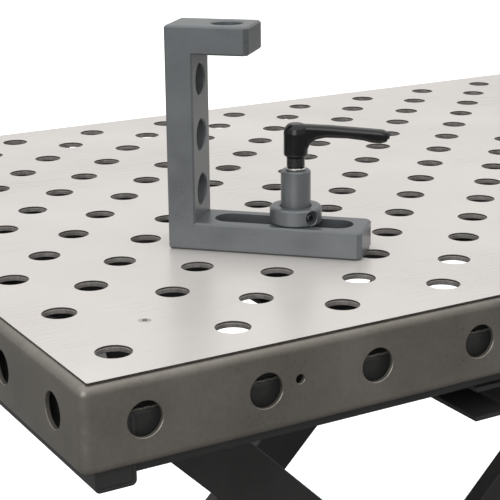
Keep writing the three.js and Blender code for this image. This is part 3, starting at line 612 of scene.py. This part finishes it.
top_right = 2 * centre - low_hinge
low_right = 2 * centre - top_hinge
arm_bore = SHAFT + 0.1 * MM
for side in ("front", "rear"):
    for kind, start, end in (("inner", low_hinge, top_right), ("outer", top_hinge, low_right)):
        node = f"{kind}_arm_{side}"
        flat_bar = arm(node, start, end, [(start, arm_bore), (end, arm_bore), (centre, arm_bore)])
        piece(f"scissor_{kind}_{side}", flat_bar, node)
print("arm length between pins", round(2 * half_span, 4))

# %% [markdown]
# ## Pins, shafts and rollers
# All of these are turned. The shafts are plain bright bars with a small lead at each end and a
# groove for a snap ring. The centre pins have a wide low head with a domed face. The rollers are
# hardened rings with a rounded tread. A line of points spun round an axis makes each of them.

# %% Turned parts of the scissor
def shaft(length, radius=SHAFT, groove=3 * MM):
    """A bar along Z with chamfered ends and a snap ring groove near each end."""
    deep, wide, lead = 0.8 * MM, 1.3 * MM, 1.2 * MM
    return turned([(0, 0), (radius - lead, 0), (radius, lead), (radius, groove), (radius - deep, groove),
                   (radius - deep, groove + wide), (radius, groove + wide),
                   (radius, length - groove - wide), (radius - deep, length - groove - wide),
                   (radius - deep, length - groove), (radius, length - groove),
                   (radius, length - lead), (radius - lead, length), (0, length)], 48)


for node in ("upper_hinge_shaft", "lower_hinge_shaft", "lower_roller_shaft",
             "upper_roller_axle_front", "upper_roller_axle_rear"):
    low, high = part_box(node)
    middle = (low + high) / 2
    piece(f"turned_{node}", across(middle, low.y, high.y, shaft(high.y - low.y, (high.x - low.x) / 2)), node)
low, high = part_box("lift_tube")
piece("turned_lift_tube", across((low + high) / 2, low.y, high.y,
                                 ring((high.z - low.z) / 2, 11 * MM, high.y - low.y, 0.8 * MM)), "lift_tube")
for side, sign in (("front", -1), ("rear", 1)):
    low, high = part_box(f"centre_pin_{side}")
    length, head, thick = high.y - low.y, (high.z - low.z) / 2, 5 * MM
    dome = turned([(0, 0), (SHAFT - MM, 0), (SHAFT - 0.2 * MM, MM), (SHAFT - 0.2 * MM, length - thick),
                   (head - 0.8 * MM, length - thick), (head, length - thick + 0.8 * MM),
                   (head, length - 1.8 * MM), (head - 1.8 * MM, length - 0.4 * MM),
                   (0.45 * head, length), (0.42 * head, length - MM), (0, length - MM)], 56)
    start = low.y if sign > 0 else high.y
    bmesh.ops.transform(dome, matrix=pose((centre.x, start, centre.z), (0, sign, 0)), verts=dome.verts)
    piece(f"domed_pin_{side}", dome, f"centre_pin_{side}")
    for level in ("upper", "lower"):
        node = f"{level}_roller_{side}"
        low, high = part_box(node)
        outer, width, bore = (high.z - low.z) / 2, high.y - low.y, SHAFT + 0.15 * MM
        tread = turned([(bore, 0.6 * MM), (bore + 0.6 * MM, 0), (outer - 4 * MM, 0),
                        (outer - 3.4 * MM, 0.5 * MM),
                        (outer - 1.2 * MM, 0.5 * MM), (outer, 1.7 * MM), (outer, width - 1.7 * MM),
                        (outer - 1.2 * MM, width - 0.5 * MM), (outer - 3.4 * MM, width - 0.5 * MM),
                        (outer - 4 * MM, width), (bore + 0.6 * MM, width), (bore, width - 0.6 * MM)],
                       56, closed=True)
        piece(f"tread_{node}", across((low + high) / 2, low.y, high.y, tread), node)
print(len(made), "pieces so far")

# %% [markdown]
# ## The base
# The base is a ladder: two channels that the lower rollers run in, two cross feet welded to their
# ends, and a bridge plate that carries the lift cylinder. It stands on four levelling feet with
# threaded stems and lock nuts, so that the table can be set level on a rough floor.

# %% Rails, cross feet and bridge
for side, sign in (("front", -1), ("rear", 1)):
    low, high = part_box(f"base_rail_{side}")
    rail = profile_bar(low, high, 0, 4 * MM, 5.5 * MM, (0, -sign, 0))
    web = (low.y, low.y + 4 * MM) if sign < 0 else (high.y - 4 * MM, high.y)
    rail = carve(rail, across(low_hinge, *web, cutter(SHAFT + 0.15 * MM, 0, 4 * MM, 0.6 * MM, 40)))
    piece(f"base_channel_{side}", rail, f"base_rail_{side}")
for end in ("left", "right"):
    low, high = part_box(f"base_cross_{end}")
    foot_beam = profile_bar(low + Vector((0, 2 * MM, 0)), high - Vector((0, 2 * MM, 0)), 1, 3 * MM, 4 * MM)
    for y in (low.y, high.y - 2.4 * MM):
        merge(foot_beam, box((low.x + MM, y, low.z + MM),
                             (high.x - MM, y + 2.4 * MM, high.z - MM), 0.8 * MM))
    piece(f"base_foot_beam_{end}", foot_beam, f"base_cross_{end}")

barrel = pivot["cylinder_tilt"]
low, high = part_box("base_bridge")
PLATE = 8 * MM
plate = rounded_plate(low, Vector((high.x, high.y, low.z + PLATE)), 3 * MM, 0.8 * MM)
plate = carve(plate, box((barrel.x - 26.5 * MM, -15 * MM, low.z - MM),
                         (barrel.x + 26.5 * MM, 15 * MM, low.z + PLATE + MM)))
for sign in (-1, 1):
    ys = sorted((sign * 15 * MM, sign * 25 * MM))
    ear = box((barrel.x - 23 * MM, ys[0], low.z + PLATE - MM), (barrel.x + 23 * MM, ys[1], high.z))
    ease(ear, corners(ear, lambda middle, run, normals: abs(run.y) > 0.9 and middle.z > barrel.z), 14 * MM, 8)
    ease_all(ear, 0.8 * MM, 2, 60)
    ear = carve(ear, across(barrel, ys[0], ys[1], cutter(11.15 * MM, 0, 10 * MM, 0.8 * MM, 40)))
    merge(plate, ear)
piece("bridge", plate, "base_bridge")
print("base ladder ready")

# %% [markdown]
# A levelling foot is a turned pad on a threaded stem. A real thread is a helix, but at this size
# turned ridges look the same and close cleanly, so the profile simply zigzags up the stem. The nut
# is a six sided bar that keeps only what lies inside a turned double cone, which gives the curved
# chamfers of a real nut.

# %% Feet and nuts
def threaded(radius, low, high, pitch=2 * MM, deep=0.7 * MM):
    """The zigzag profile of a thread from low to high."""
    points, height = [], low
    while height + pitch <= high:
        points += [(radius - deep, height), (radius, height + pitch / 2)]
        height += pitch
    return points + [(radius - deep, height)]


for number in range(1, 5):
    low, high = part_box(f"levelling_foot_{number}")
    middle = (low + high) / 2
    pad, stem = (high.x - low.x) / 2, 8 * MM
    foot = turned([(0, 0.6 * MM), (pad - 4 * MM, 0.6 * MM), (pad - 3 * MM, 0),
                   (pad - 1.2 * MM, 0), (pad, 1.2 * MM),
                   (pad, 5 * MM), (pad - 1.5 * MM, 6.5 * MM), (0.62 * pad, 8.5 * MM), (0.5 * pad, 11.5 * MM),
                   (stem + 1.5 * MM, 12 * MM), *threaded(stem - 0.1 * MM, 13 * MM, high.z - 2 * MM),
                   (stem - 1.5 * MM, high.z), (0, high.z)], 40)
    bmesh.ops.translate(foot, vec=(middle.x, middle.y, 0), verts=foot.verts)
    piece(f"foot_{number}", foot, f"levelling_foot_{number}")
    low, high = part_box(f"foot_nut_{number}")
    tall = high.z - low.z
    nut = hexagon(24 * MM, 0, tall)
    cone = turned([(0, 0), (11.6 * MM, 0), (14.2 * MM, 1.4 * MM), (14.2 * MM, tall - 1.4 * MM),
                   (11.6 * MM, tall), (0, tall)], 64)
    nut = carve(carve(nut, cone, "INTERSECT"), cutter(8.1 * MM, 0, tall, 0.7 * MM, 32))
    bmesh.ops.translate(nut, vec=(middle.x, middle.y, low.z), verts=nut.verts)
    piece(f"lock_nut_{number}", nut, f"foot_nut_{number}")
print("feet and nuts turned")

# %% [markdown]
# ## The lifting cylinder and its pump
# A foot pump drives a short hydraulic cylinder that pushes the inner arms up. The barrel is turned,
# with a screwed gland at its mouth and a weld ring at its eye. The rod is ground and chromed, and
# its eye goes loosely round the tube between the inner arms. Both lie along the line of the rod's
# stroke, so they are drawn along Z and laid on that line.

# %% Barrel and rod
stroke = Vector(joint["rod_stroke"]["axis"]).normalized()
EYE = 13 * MM
LENGTH, MOUTH, BORE = 205 * MM, 25 * MM, 14 * MM
barrel_piece = bmesh.new()
tube = turned([(BORE, LENGTH - 0.8 * MM), (BORE, 48 * MM), (0, 45 * MM), (0, 31 * MM),
               (MOUTH - 2 * MM, 31 * MM),
               (MOUTH, 33 * MM), (MOUTH, LENGTH - 24 * MM), (MOUTH - MM, LENGTH - 23.2 * MM),
               (MOUTH - MM, LENGTH - 21 * MM), (MOUTH, LENGTH - 20.2 * MM), (MOUTH, LENGTH - 3 * MM),
               (MOUTH - 3 * MM, LENGTH), (BORE + 0.8 * MM, LENGTH), (BORE, LENGTH - 0.8 * MM)], 56)
merge(barrel_piece, tube, pose(barrel, stroke))
merge(barrel_piece, box((-15.5 * MM, -EYE, 0), (15.5 * MM, EYE, 34 * MM), 2 * MM), pose(barrel, stroke))
eye = turned([(0, 0), (MOUTH - 1.5 * MM, 0), (MOUTH, 1.5 * MM), (MOUTH, 2 * EYE - 1.5 * MM),
              (MOUTH - 1.5 * MM, 2 * EYE), (0, 2 * EYE)], 56)
merge(barrel_piece, eye, pose(barrel - Vector((0, EYE, 0)), (0, 1, 0)))
merge(barrel_piece, pin(11 * MM, 66 * MM, 1.2 * MM), pose(barrel - Vector((0, 33 * MM, 0)), (0, 1, 0)))
port = turned([(0, 0), (8 * MM, 0), (8 * MM, 5 * MM), (7 * MM, 6 * MM), (4 * MM, 6 * MM),
               (4 * MM, 2 * MM), (0, 2 * MM)], 32)
side_way = stroke.cross(Vector((0, 1, 0)))
merge(barrel_piece, port, pose(barrel + stroke * 60 * MM - side_way * (MOUTH - 2 * MM), -side_way))
piece("barrel", barrel_piece, "cylinder_barrel")

low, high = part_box("lift_tube")
lift_point = (low + high) / 2
reach = (lift_point - barrel).dot(stroke)
rod_piece = bmesh.new()
merge(rod_piece, turned([(0, 92 * MM), (11 * MM, 91.5 * MM), (12.5 * MM, 94 * MM),
                         (12.5 * MM, reach - 22 * MM), (0, reach - 21.5 * MM)], 56), pose(barrel, stroke))
merge(rod_piece, ring(30 * MM, 20.1 * MM, 2 * EYE, 1.5 * MM, 64),
      pose(barrel + stroke * reach - Vector((0, EYE, 0)), (0, 1, 0)))
piece("rod", rod_piece, "piston_rod")
print("rod eye at", [round(x, 4) for x in barrel + stroke * reach])

# %% [markdown]
# The pump is a small cast block with a filler plug and cap screws. A foot pedal and a release rod
# reach out past the end of the table. Each is a round bar bent through a right angle, so a disc is
# pushed up, spun through the bend and pushed out again, which is what a bending machine does.

# %% Pump block
low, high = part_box("pump_block")
pump = box(low, high, 3 * MM, 3)
sunk = 0.3 * MM
for x in (low.x + 9 * MM, high.x - 9 * MM):
    for y in (low.y + 9 * MM, high.y - 9 * MM):
        head = turned([(0, 0), (4.3 * MM, 0), (4.6 * MM, 0.3 * MM), (4.6 * MM, 3.4 * MM),
                       (4.1 * MM, 4 * MM), (0, 4 * MM)], 24)
        merge(pump, carve(head, hexagon(4 * MM, 1.8 * MM, 6 * MM)),
              Matrix.Translation((x, y, high.z - sunk)))
plug = turned([(0, 0), (9 * MM, 0), (9 * MM, 2 * MM), (7.5 * MM, 2.6 * MM), (7.5 * MM, 7 * MM),
               (6.5 * MM, 8 * MM), (0, 8 * MM)], 32)
merge(pump, plug, Matrix.Translation(((low.x + high.x) / 2, (low.y + high.y) / 2, high.z - sunk)))
print("pump", len(pump.faces), "faces")
piece("pump", pump, "pump_block")


# %% Pedal and release rod
def bent_rod(radius, rise, out, bend):
    """A round bar that goes up, round a bend, and out along -X."""
    bm = bmesh.new()
    bmesh.ops.create_circle(bm, cap_ends=True, radius=radius, segments=24)
    up = bmesh.ops.extrude_face_region(bm, geom=bm.faces[:])["geom"]
    bmesh.ops.translate(bm, vec=(0, 0, rise - bend), verts=points_of(up))
    last = faces_of(up)
    bent = bmesh.ops.spin(bm, geom=last + list(last[0].edges) + list(last[0].verts),
                          cent=(-bend, 0, rise - bend), axis=(0, -1, 0), angle=math.pi / 2,
                          steps=10)["geom_last"]
    last = faces_of(bent)
    run = bmesh.ops.extrude_face_region(bm, geom=last)["geom"]
    bmesh.ops.translate(bm, vec=(bend - out, 0, 0), verts=points_of(run))
    bmesh.ops.delete(bm, geom=last, context="FACES_ONLY")
    return bm


def foot_lever(node, pivot_name, radius, pad_width):
    """A bent rod on a boss, with a ribbed pad at its end."""
    at = pivot[pivot_name]
    low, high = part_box(node)
    rise, out = high.z - radius - at.z, at.x - low.x
    bm = bmesh.new()
    merge(bm, bent_rod(radius, rise, out - 2.4 * MM, 2 * radius), Matrix.Translation(at))
    boss = turned([(0, 0), (2.2 * radius, 0), (2.4 * radius, 0.2 * radius), (2.4 * radius, 3 * radius),
                   (2.2 * radius, 3.2 * radius), (0.9 * radius, 3.2 * radius),
                   (0.9 * radius, 3 * radius), (0, 3 * radius)], 40)
    merge(bm, boss, pose(at - Vector((0, 1.6 * radius, 0)), (0, 1, 0)))
    half = pad_width / 2
    merge(bm, box((low.x, at.y - half, high.z - 2 * radius),
                  (low.x + 6 * radius, at.y + half, high.z - 0.8 * MM), 1.6 * MM, 3))
    for step in range(6):
        x = low.x + (0.6 + 0.9 * step) * radius
        merge(bm, box((x, at.y - half + 2 * MM, high.z - 1.4 * MM),
                      (x + 0.4 * radius, at.y + half - 2 * MM, high.z), 0.3 * MM, 1))
    return bm


piece("pedal", foot_lever("pump_pedal", "pedal_press", 7 * MM, 24 * MM), "pump_pedal")
piece("release_lever", foot_lever("release_rod", "release_press", 4 * MM, 20 * MM), "release_rod")
print(len(made), "pieces so far")

# %% [markdown]
# ## The clamping square
# The square is one solid block of steel, shaped like a C: a base, a leg and a short top arm. It is
# ground and nitrided. All long edges have a plain chamfer of about 2 mm, and the ends of the two
# arms a wider one. The base has a long slot for the clamping bolt, and leg and arm have the same
# 28 mm holes as the table. The outline is drawn flat, pushed out to its depth, chamfered, and then
# the holes and the slot are cut and their mouths broken.

# %% The square's body
bolt = pivot["bolt_swivel"]
base_way = -Vector(joint["square_slide"]["axis"]).normalized()
BAR, TALL, ARM, HEEL, TOE = 25 * MM, 200 * MM, 75 * MM, -111 * MM, 64 * MM
DEPTH = 25 * MM  # half of the whole
outline = [(HEEL, 0), (TOE, 0), (TOE, BAR), (HEEL + BAR, BAR), (HEEL + BAR, TALL - BAR),
           (HEEL + ARM, TALL - BAR), (HEEL + ARM, TALL), (HEEL, TALL)]
square = pushed_outline(outline, 2 * DEPTH)
square.normal_update()


def at_an_arm_end(middle, run, normals):
    """Whether an edge stands upright at the free end of the base or of the top arm."""
    ends = middle.x > TOE - MM or (middle.z > TALL - BAR and middle.x > HEEL + BAR + MM)
    return ends and abs(run.z) > 0.9 and max(n.x for n in normals) > 0.9


ease(square, corners(square, at_an_arm_end), 4 * MM, 1)
ease_all(square, 1.6 * MM, 1)
print("square chamfered", len(square.faces), "faces")

# %% Its holes and slot
for height in (50 * MM, 100 * MM, 150 * MM):
    tool = cutter(HOLE / 2, 0, BAR, 1.2 * MM)
    bmesh.ops.transform(tool, matrix=pose((HEEL, 0, height), (1, 0, 0)), verts=tool.verts)
    square = carve(square, tool)
tool = cutter(HOLE / 2, TALL - BAR, TALL, 1.2 * MM)
bmesh.ops.translate(tool, vec=(HEEL + 50 * MM, 0, 0), verts=tool.verts)
square = carve(square, tool)
slot_tool = box((HEEL + 37 * MM, -HOLE / 2, -MM), (HEEL + 163 * MM, HOLE / 2, BAR + MM))
ease(slot_tool, corners(slot_tool, lambda middle, run, normals: abs(run.z) > 0.9), HOLE / 2 - 0.01 * MM, 16)
square = carve(square, slot_tool)
square.normal_update()
square_rims = []
for rim in square.edges:
    if len(rim.link_faces) == 2 and rim.calc_face_angle(0) > math.radians(60):
        x, y, z = rim.verts[0].co
        in_slot = HEEL + 36 * MM < x < HEEL + 164 * MM and abs(y) < HOLE / 2 + 0.1 * MM
        at_face = min(abs(z), abs(z - BAR)) < 0.05 * MM
        if in_slot and at_face and max(abs(face.normal.z) for face in rim.link_faces) > 0.9:
            square_rims.append(rim)
ease(square, square_rims, 1.2 * MM, 1)
print("square", len(square.faces), "faces")
foot_gap = 0.3 * MM
square_turn = Matrix.Rotation(math.atan2(base_way.y, base_way.x), 4, "Z")
square_place = Matrix.Translation(bolt + Vector((0, 0, foot_gap))) @ square_turn
bmesh.ops.transform(square, matrix=square_place, verts=square.verts)
piece("square", square, "clamping_square")

# %% [markdown]
# ## The clamping bolt
# The bolt drops through a table hole. Its lower end carries locking balls that a spindle pushes out
# under the plate. Above the square sit a set collar with a sunk set screw, the long sleeve, a
# bright ring and the blackened spindle neck. Everything here is turned, so spin does the work, and
# the small radial holes are cut afterwards.

# %% Sleeve, collar, screw and ring
clamp = Matrix.Translation(bolt)
low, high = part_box("bolt_sleeve")
bottom, top, radius = low.z - bolt.z, high.z - bolt.z, (high.x - low.x) / 2
bore = 7.2 * MM
sleeve = turned([(bore, bottom + MM), (bore + MM, bottom), (radius - 2.2 * MM, bottom),
                 (radius - 0.6 * MM, bottom + 1.8 * MM), (radius - 0.6 * MM, bottom + 3 * MM),
                 (radius, bottom + 3.6 * MM), (radius, top - 1.4 * MM), (radius - 1.4 * MM, top),
                 (bore + 1.2 * MM, top), (bore, top - 1.2 * MM)], 64, closed=True)
ball_ways = [Vector((math.cos(math.radians(turn)), math.sin(math.radians(turn)), 0))
             for turn in (10, 130, 250)]
ball_drop = Vector((0, 0, -13 * MM))
for way in ball_ways:
    pocket = moved(cutter(4.2 * MM, 0, radius, 0.0, 24), pose(way * bore + ball_drop, way))
    sleeve = carve(sleeve, pocket)
piece("sleeve", moved(sleeve, clamp), "bolt_sleeve")

low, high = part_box("set_collar")
radius, base, top = (high.x - low.x) / 2, low.z - bolt.z, high.z - bolt.z
low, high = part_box("collar_screw")
screw_way = (low + high) / 2 - bolt
screw_height, screw_way.z = screw_way.z, 0
screw_way.normalize()
collar = turned([(13.85 * MM, base + 0.6 * MM), (14.4 * MM, base), (radius - 1.4 * MM, base),
                 (radius, base + 1.4 * MM), (radius, top - 1.6 * MM), (radius - 1.6 * MM, top),
                 (14.6 * MM, top), (13.85 * MM, top - 0.8 * MM)], 72, closed=True)
seat = radius - 5 * MM
screw_start = Vector((0, 0, screw_height))
sink = turned([(0, seat), (6.25 * MM, seat), (6.25 * MM, radius - 1.1 * MM), (8.2 * MM, radius + MM),
               (0, radius + MM)], 40)
collar = carve(collar, moved(sink, pose(screw_start, screw_way)))
tapped = pin(3.9 * MM, radius - 12 * MM, 0.01 * MM, 32)
collar = carve(collar, moved(tapped, pose(screw_way * 11 * MM + screw_start, screw_way)))
piece("collar", moved(collar, clamp), "set_collar")

inside = 13.9 * MM
screw_length = seat - inside + 3 * MM
set_screw = turned([(0, 0), (2.8 * MM, 0), (3.6 * MM, 0.9 * MM), (3.6 * MM, screw_length - 0.7 * MM),
                    (2.9 * MM, screw_length), (0, screw_length)], 36)
set_screw = carve(set_screw, hexagon(4 * MM, screw_length - 2.5 * MM, screw_length + MM))
screw_place = clamp @ pose(screw_way * inside + screw_start, screw_way)
piece("set_screw", moved(set_screw, screw_place), "collar_screw")

low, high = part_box("washer")
bright_ring = ring((high.x - low.x) / 2, bore, high.z - low.z, 0.4 * MM, 64)
piece("bright_ring", moved(bright_ring, Matrix.Translation((bolt.x, bolt.y, low.z))), "washer")
print("sleeve, collar, set screw and ring turned")

# %% Locking balls
balls = bmesh.new()
for way in ball_ways:
    ball = bmesh.new()
    bmesh.ops.create_uvsphere(ball, u_segments=20, v_segments=12, radius=4 * MM)
    merge(balls, ball, Matrix.Translation(bolt + way * 9.4 * MM + ball_drop))
piece("locking_balls", balls, "washer", "extra")
print("3 locking balls")

# %% [markdown]
# ## The spindle and its lever
# The lever is a die cast handle that can be lifted and turned on its toothed insert, so it has a
# round hub, a screw in its top and a slim arm that droops a little and swells at its end. A casting
# has no sharp edges anywhere. So hub and arm are joined with a Boolean, and a fine voxel remesh and
# a few rounds of smoothing melt their edges together, as fillets in a mould do.

# %% The spindle
low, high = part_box("spindle")
bottom, top = low.z - bolt.z, high.z - bolt.z
neck_low, neck_high = 75.7 * MM, 84.6 * MM
spindle = turned([(0, bottom), (5.5 * MM, bottom), (6.9 * MM, bottom + 1.4 * MM), (6.9 * MM, neck_low),
                  (7.3 * MM, neck_low), (8 * MM, neck_low + 0.7 * MM), (8 * MM, neck_high - 0.5 * MM),
                  (7.5 * MM, neck_high), (5 * MM, neck_high), (5 * MM, top - 0.6 * MM),
                  (4.4 * MM, top), (0, top)], 56)
piece("spindle_neck", moved(spindle, clamp), "spindle")
print("spindle", round((top - bottom) / MM), "mm long")

# %% The lever
low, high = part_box("clamp_lever")
hub_low, hub_high = low.z - bolt.z, high.z - bolt.z
hub = turned([(0, hub_low + 0.4 * MM), (9.8 * MM, hub_low + 0.4 * MM), (10.7 * MM, hub_low + 1.4 * MM),
              (10.7 * MM, hub_high - 9 * MM), (9.9 * MM, hub_high - 4.5 * MM),
              (7.2 * MM, hub_high - 1.4 * MM), (5.8 * MM, hub_high - 0.6 * MM), (0, hub_high - 0.6 * MM)], 48)
# the side view of the arm: millimetres from the spindle, and below the hub's top
arm_top = [(-6, 3), (4, 1.2), (30, 2.2), (60, 4.4), (76, 5.6), (80.5, 7.6), (81.2, 12), (79.4, 16)]
arm_under = [(74, 17.4), (66, 16.8), (60, 15), (45, 13.2), (26, 12.8), (18, 14.6), (13, 18.4),
             (10.4, 24), (4, 24), (-6, 10)]
arm_shape = pushed_outline([(x * MM, hub_high - below * MM) for x, below in arm_top + arm_under], 11.2 * MM)
ease(arm_shape, corners(arm_shape, lambda middle, run, normals: abs(run.y) < 0.1), 3 * MM, 3)
casting = carve(hub, arm_shape, "UNION")
casting_mesh = bpy.data.meshes.new("casting")
casting.to_mesh(casting_mesh)
casting.free()
melted = bpy.data.objects.new("casting", casting_mesh)
bpy.context.scene.collection.objects.link(melted)
remesh = melted.modifiers.new("remesh", "REMESH")
remesh.mode, remesh.voxel_size = "VOXEL", 0.75 * MM
soften = melted.modifiers.new("soften", "SMOOTH")
soften.factor, soften.iterations = 0.5, 7
melted_mesh = bpy.data.meshes.new_from_object(melted.evaluated_get(bpy.context.evaluated_depsgraph_get()))
lever = bmesh.new()
lever.from_mesh(melted_mesh)
bpy.data.objects.remove(melted)
bpy.data.meshes.remove(melted_mesh)
merge(lever, turned([(0, 0), (3.4 * MM, 0), (3.4 * MM, 1.6 * MM), (2.6 * MM, 2.4 * MM), (0, 2.5 * MM)], 32),
      pose((79.6 * MM, 0, hub_high - 10.6 * MM), (1, 0, -0.06)))
lever_turn = Matrix.Rotation(math.radians(-36), 4, "Z")
bmesh.ops.transform(lever, matrix=clamp @ lever_turn, verts=lever.verts)
print("lever", len(lever.faces), "faces")
piece("lever", lever, "clamp_lever")

low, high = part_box("lever_screw")
cap = turned([(0, low.z), (3.9 * MM, low.z), (3.9 * MM, high.z - 0.9 * MM), (3.2 * MM, high.z),
              (0, high.z)], 36)
cap = carve(cap, hexagon(4 * MM, high.z - 2.4 * MM, high.z + MM))
bmesh.ops.translate(cap, vec=(bolt.x, bolt.y, 0), verts=cap.verts)
piece("cap_screw", cap, "lever_screw")
print(len(made), "pieces in all")

# %% [markdown]
# ## Welds
# The tubes under the plate are welded to it with short runs. A weld bead is a row of overlapping
# drops, each a little crooked. A bead of low domes with a few dozen faces each is enough, because
# only its ripple catches the light. The runs along the two rails show as thin bright lines through
# the holes in the long sides.

# %% Weld beads
def weld(bm, start, end, size=2.4 * MM, pitch=2.6 * MM):
    """A rippled bead from start to end."""
    start, end = Vector(start), Vector(end)
    way = (end - start).normalized()
    count = int((end - start).length / pitch)
    drop = bmesh.new()
    bmesh.ops.create_icosphere(drop, subdivisions=1, radius=size)
    bmesh.ops.scale(drop, vec=(1, 1, 0.8), verts=drop.verts)
    turn = way.to_track_quat("Z", "Y").to_matrix().to_4x4()
    bmesh.ops.transform(drop, matrix=turn, verts=drop.verts)
    wander = [Vector((0, 0, 0.25 * MM * math.sin(5 * step))) for step in range(count)]
    return merge(bm, repeated(drop, [start + way * pitch * (step + 0.5) + wander[step]
                                     for step in range(count)]))


beads = bmesh.new()
for sign in (-1, 1):
    low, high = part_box("rail_front" if sign < 0 else "rail_rear")
    y = low.y - 0.4 * MM if sign < 0 else high.y + 0.4 * MM
    for x in columns:
        weld(beads, (x - 26 * MM, y, high.z - 0.6 * MM), (x + 26 * MM, y, high.z - 0.6 * MM),
             1.3 * MM, 1.7 * MM)
for end in ("left", "right"):
    low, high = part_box(f"end_beam_{end}")
    x = high.x if end == "left" else low.x
    for y in (-0.30, -0.15, 0.15, 0.30):
        weld(beads, (x, y - 20 * MM, high.z), (x, y + 20 * MM, high.z))
for node in ("rib_front", "rib_rear"):
    low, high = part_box(node)
    for x in (-0.40, -0.20, 0.0, 0.20, 0.40):
        for y in (low.y, high.y):
            weld(beads, (x - 20 * MM, y, high.z - MM), (x + 20 * MM, y, high.z - MM))
piece("frame_welds", beads, "table_body", "extra")
print("weld beads", len(made[-1].data.polygons), "faces")

# %% [markdown]
# ## Light, floor and camera
# The light is that of a plain studio: a bright ceiling, dimmer walls and one large soft panel at
# the front left. The bright ceiling is what draws the light line along the
# bent rim of the table, because a rounded edge always shows what is above it. The floor is pale
# and glows a little, so that it stays nearly white under the table. Only the view into the camera
# sees it that bright: for reflections it is a darker carpet, which keeps the lower bend of the
# table dark. The room behind is plain white to the camera as well.

# %% A helper for what only the camera sees
def for_camera(tree, others, camera_view, output):
    """Gives the camera one shader and every other ray another."""
    path = tree.nodes.new("ShaderNodeLightPath")
    mix = tree.nodes.new("ShaderNodeMixShader")
    tree.links.new(path.outputs["Is Camera Ray"], mix.inputs["Fac"])
    tree.links.new(others, mix.inputs[1])
    tree.links.new(camera_view, mix.inputs[2])
    tree.links.new(mix.outputs["Shader"], output.inputs["Surface"])


# %% Room
world = bpy.data.worlds.new("studio")
bpy.context.scene.world = world
world.use_nodes = True
nodes, links = world.node_tree.nodes, world.node_tree.links
room = nodes["Background"]
place = nodes.new("ShaderNodeTexCoord")
split = nodes.new("ShaderNodeSeparateXYZ")
links.new(place.outputs["Generated"], split.inputs["Vector"])
height = nodes.new("ShaderNodeMapRange")
height.interpolation_type = "SMOOTHSTEP"
height.inputs["From Min"].default_value, height.inputs["From Max"].default_value = 0.25, 0.95
height.inputs["To Min"].default_value, height.inputs["To Max"].default_value = 0.66, 1.72
links.new(split.outputs["Z"], height.inputs["Value"])
links.new(height.outputs["Result"], room.inputs["Strength"])
room.inputs["Color"].default_value = (1, 0.99, 0.98, 1)
seen = nodes.new("ShaderNodeBackground")
seen.inputs["Color"].default_value = (1, 1, 1, 1)
seen.inputs["Strength"].default_value = 1.0
for_camera(world.node_tree, room.outputs["Background"], seen.outputs["Background"], nodes["World Output"])
bpy.context.scene.view_settings.view_transform = "Standard"
print("room lit")

# %% Soft panel
panel = bpy.data.lights.new("soft_panel", "AREA")
panel.shape, panel.size, panel.energy = "SQUARE", 2.4, 46
lamp = bpy.data.objects.new("soft_panel", panel)
bpy.context.scene.collection.objects.link(lamp)
lamp.location = (-2.7, -2.5, 1.9)
lamp.rotation_euler = (Vector((-0.2, -0.1, 0.8)) - lamp.location).to_track_quat("-Z", "Y").to_euler()
print("panel", panel.size, "m wide")

# %% Floor
floor = bmesh.new()
bmesh.ops.create_grid(floor, x_segments=1, y_segments=1, size=40)
floor_mesh = bpy.data.meshes.new("floor")
floor.to_mesh(floor_mesh)
floor.free()
floor_obj = bpy.data.objects.new("floor", floor_mesh)
bpy.context.scene.collection.objects.link(floor_obj)
pale = bpy.data.materials.new("pale_floor")
pale.use_nodes = True
shader = pale.node_tree.nodes["Principled BSDF"]
shader.inputs["Base Color"].default_value = (0.80, 0.80, 0.80, 1)
shader.inputs["Roughness"].default_value = 0.9
shader.inputs["Emission Color"].default_value = (1, 1, 1, 1)
shader.inputs["Emission Strength"].default_value = 0.36
carpet = pale.node_tree.nodes.new("ShaderNodeBsdfDiffuse")
carpet.inputs["Color"].default_value = (0.18, 0.18, 0.18, 1)
for_camera(pale.node_tree, carpet.outputs["BSDF"], shader.outputs["BSDF"],
           pale.node_tree.nodes["Material Output"])
floor_mesh.materials.append(pale)
floor_obj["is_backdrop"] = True
print("floor laid")

# %% Camera
camera = bpy.data.objects.new("camera", bpy.data.cameras.new("camera"))
bpy.context.scene.collection.objects.link(camera)
camera.location = (-0.96464, -1.26464, 1.27785)
camera.rotation_euler = [math.radians(angle) for angle in (73.204, 0.558, -30.273)]
camera.data.lens, camera.data.sensor_width = 105.37, 36
bpy.context.scene.camera = camera
print("lens", round(camera.data.lens), "mm")

# %% [markdown]
# ## The size of the dressed model
# The looks must not change the size of the object, so the box of the dressed model is printed.

# %% Sizes
low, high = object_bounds()
print("visual box", [round(x, 4) for x in (*low, *high)])
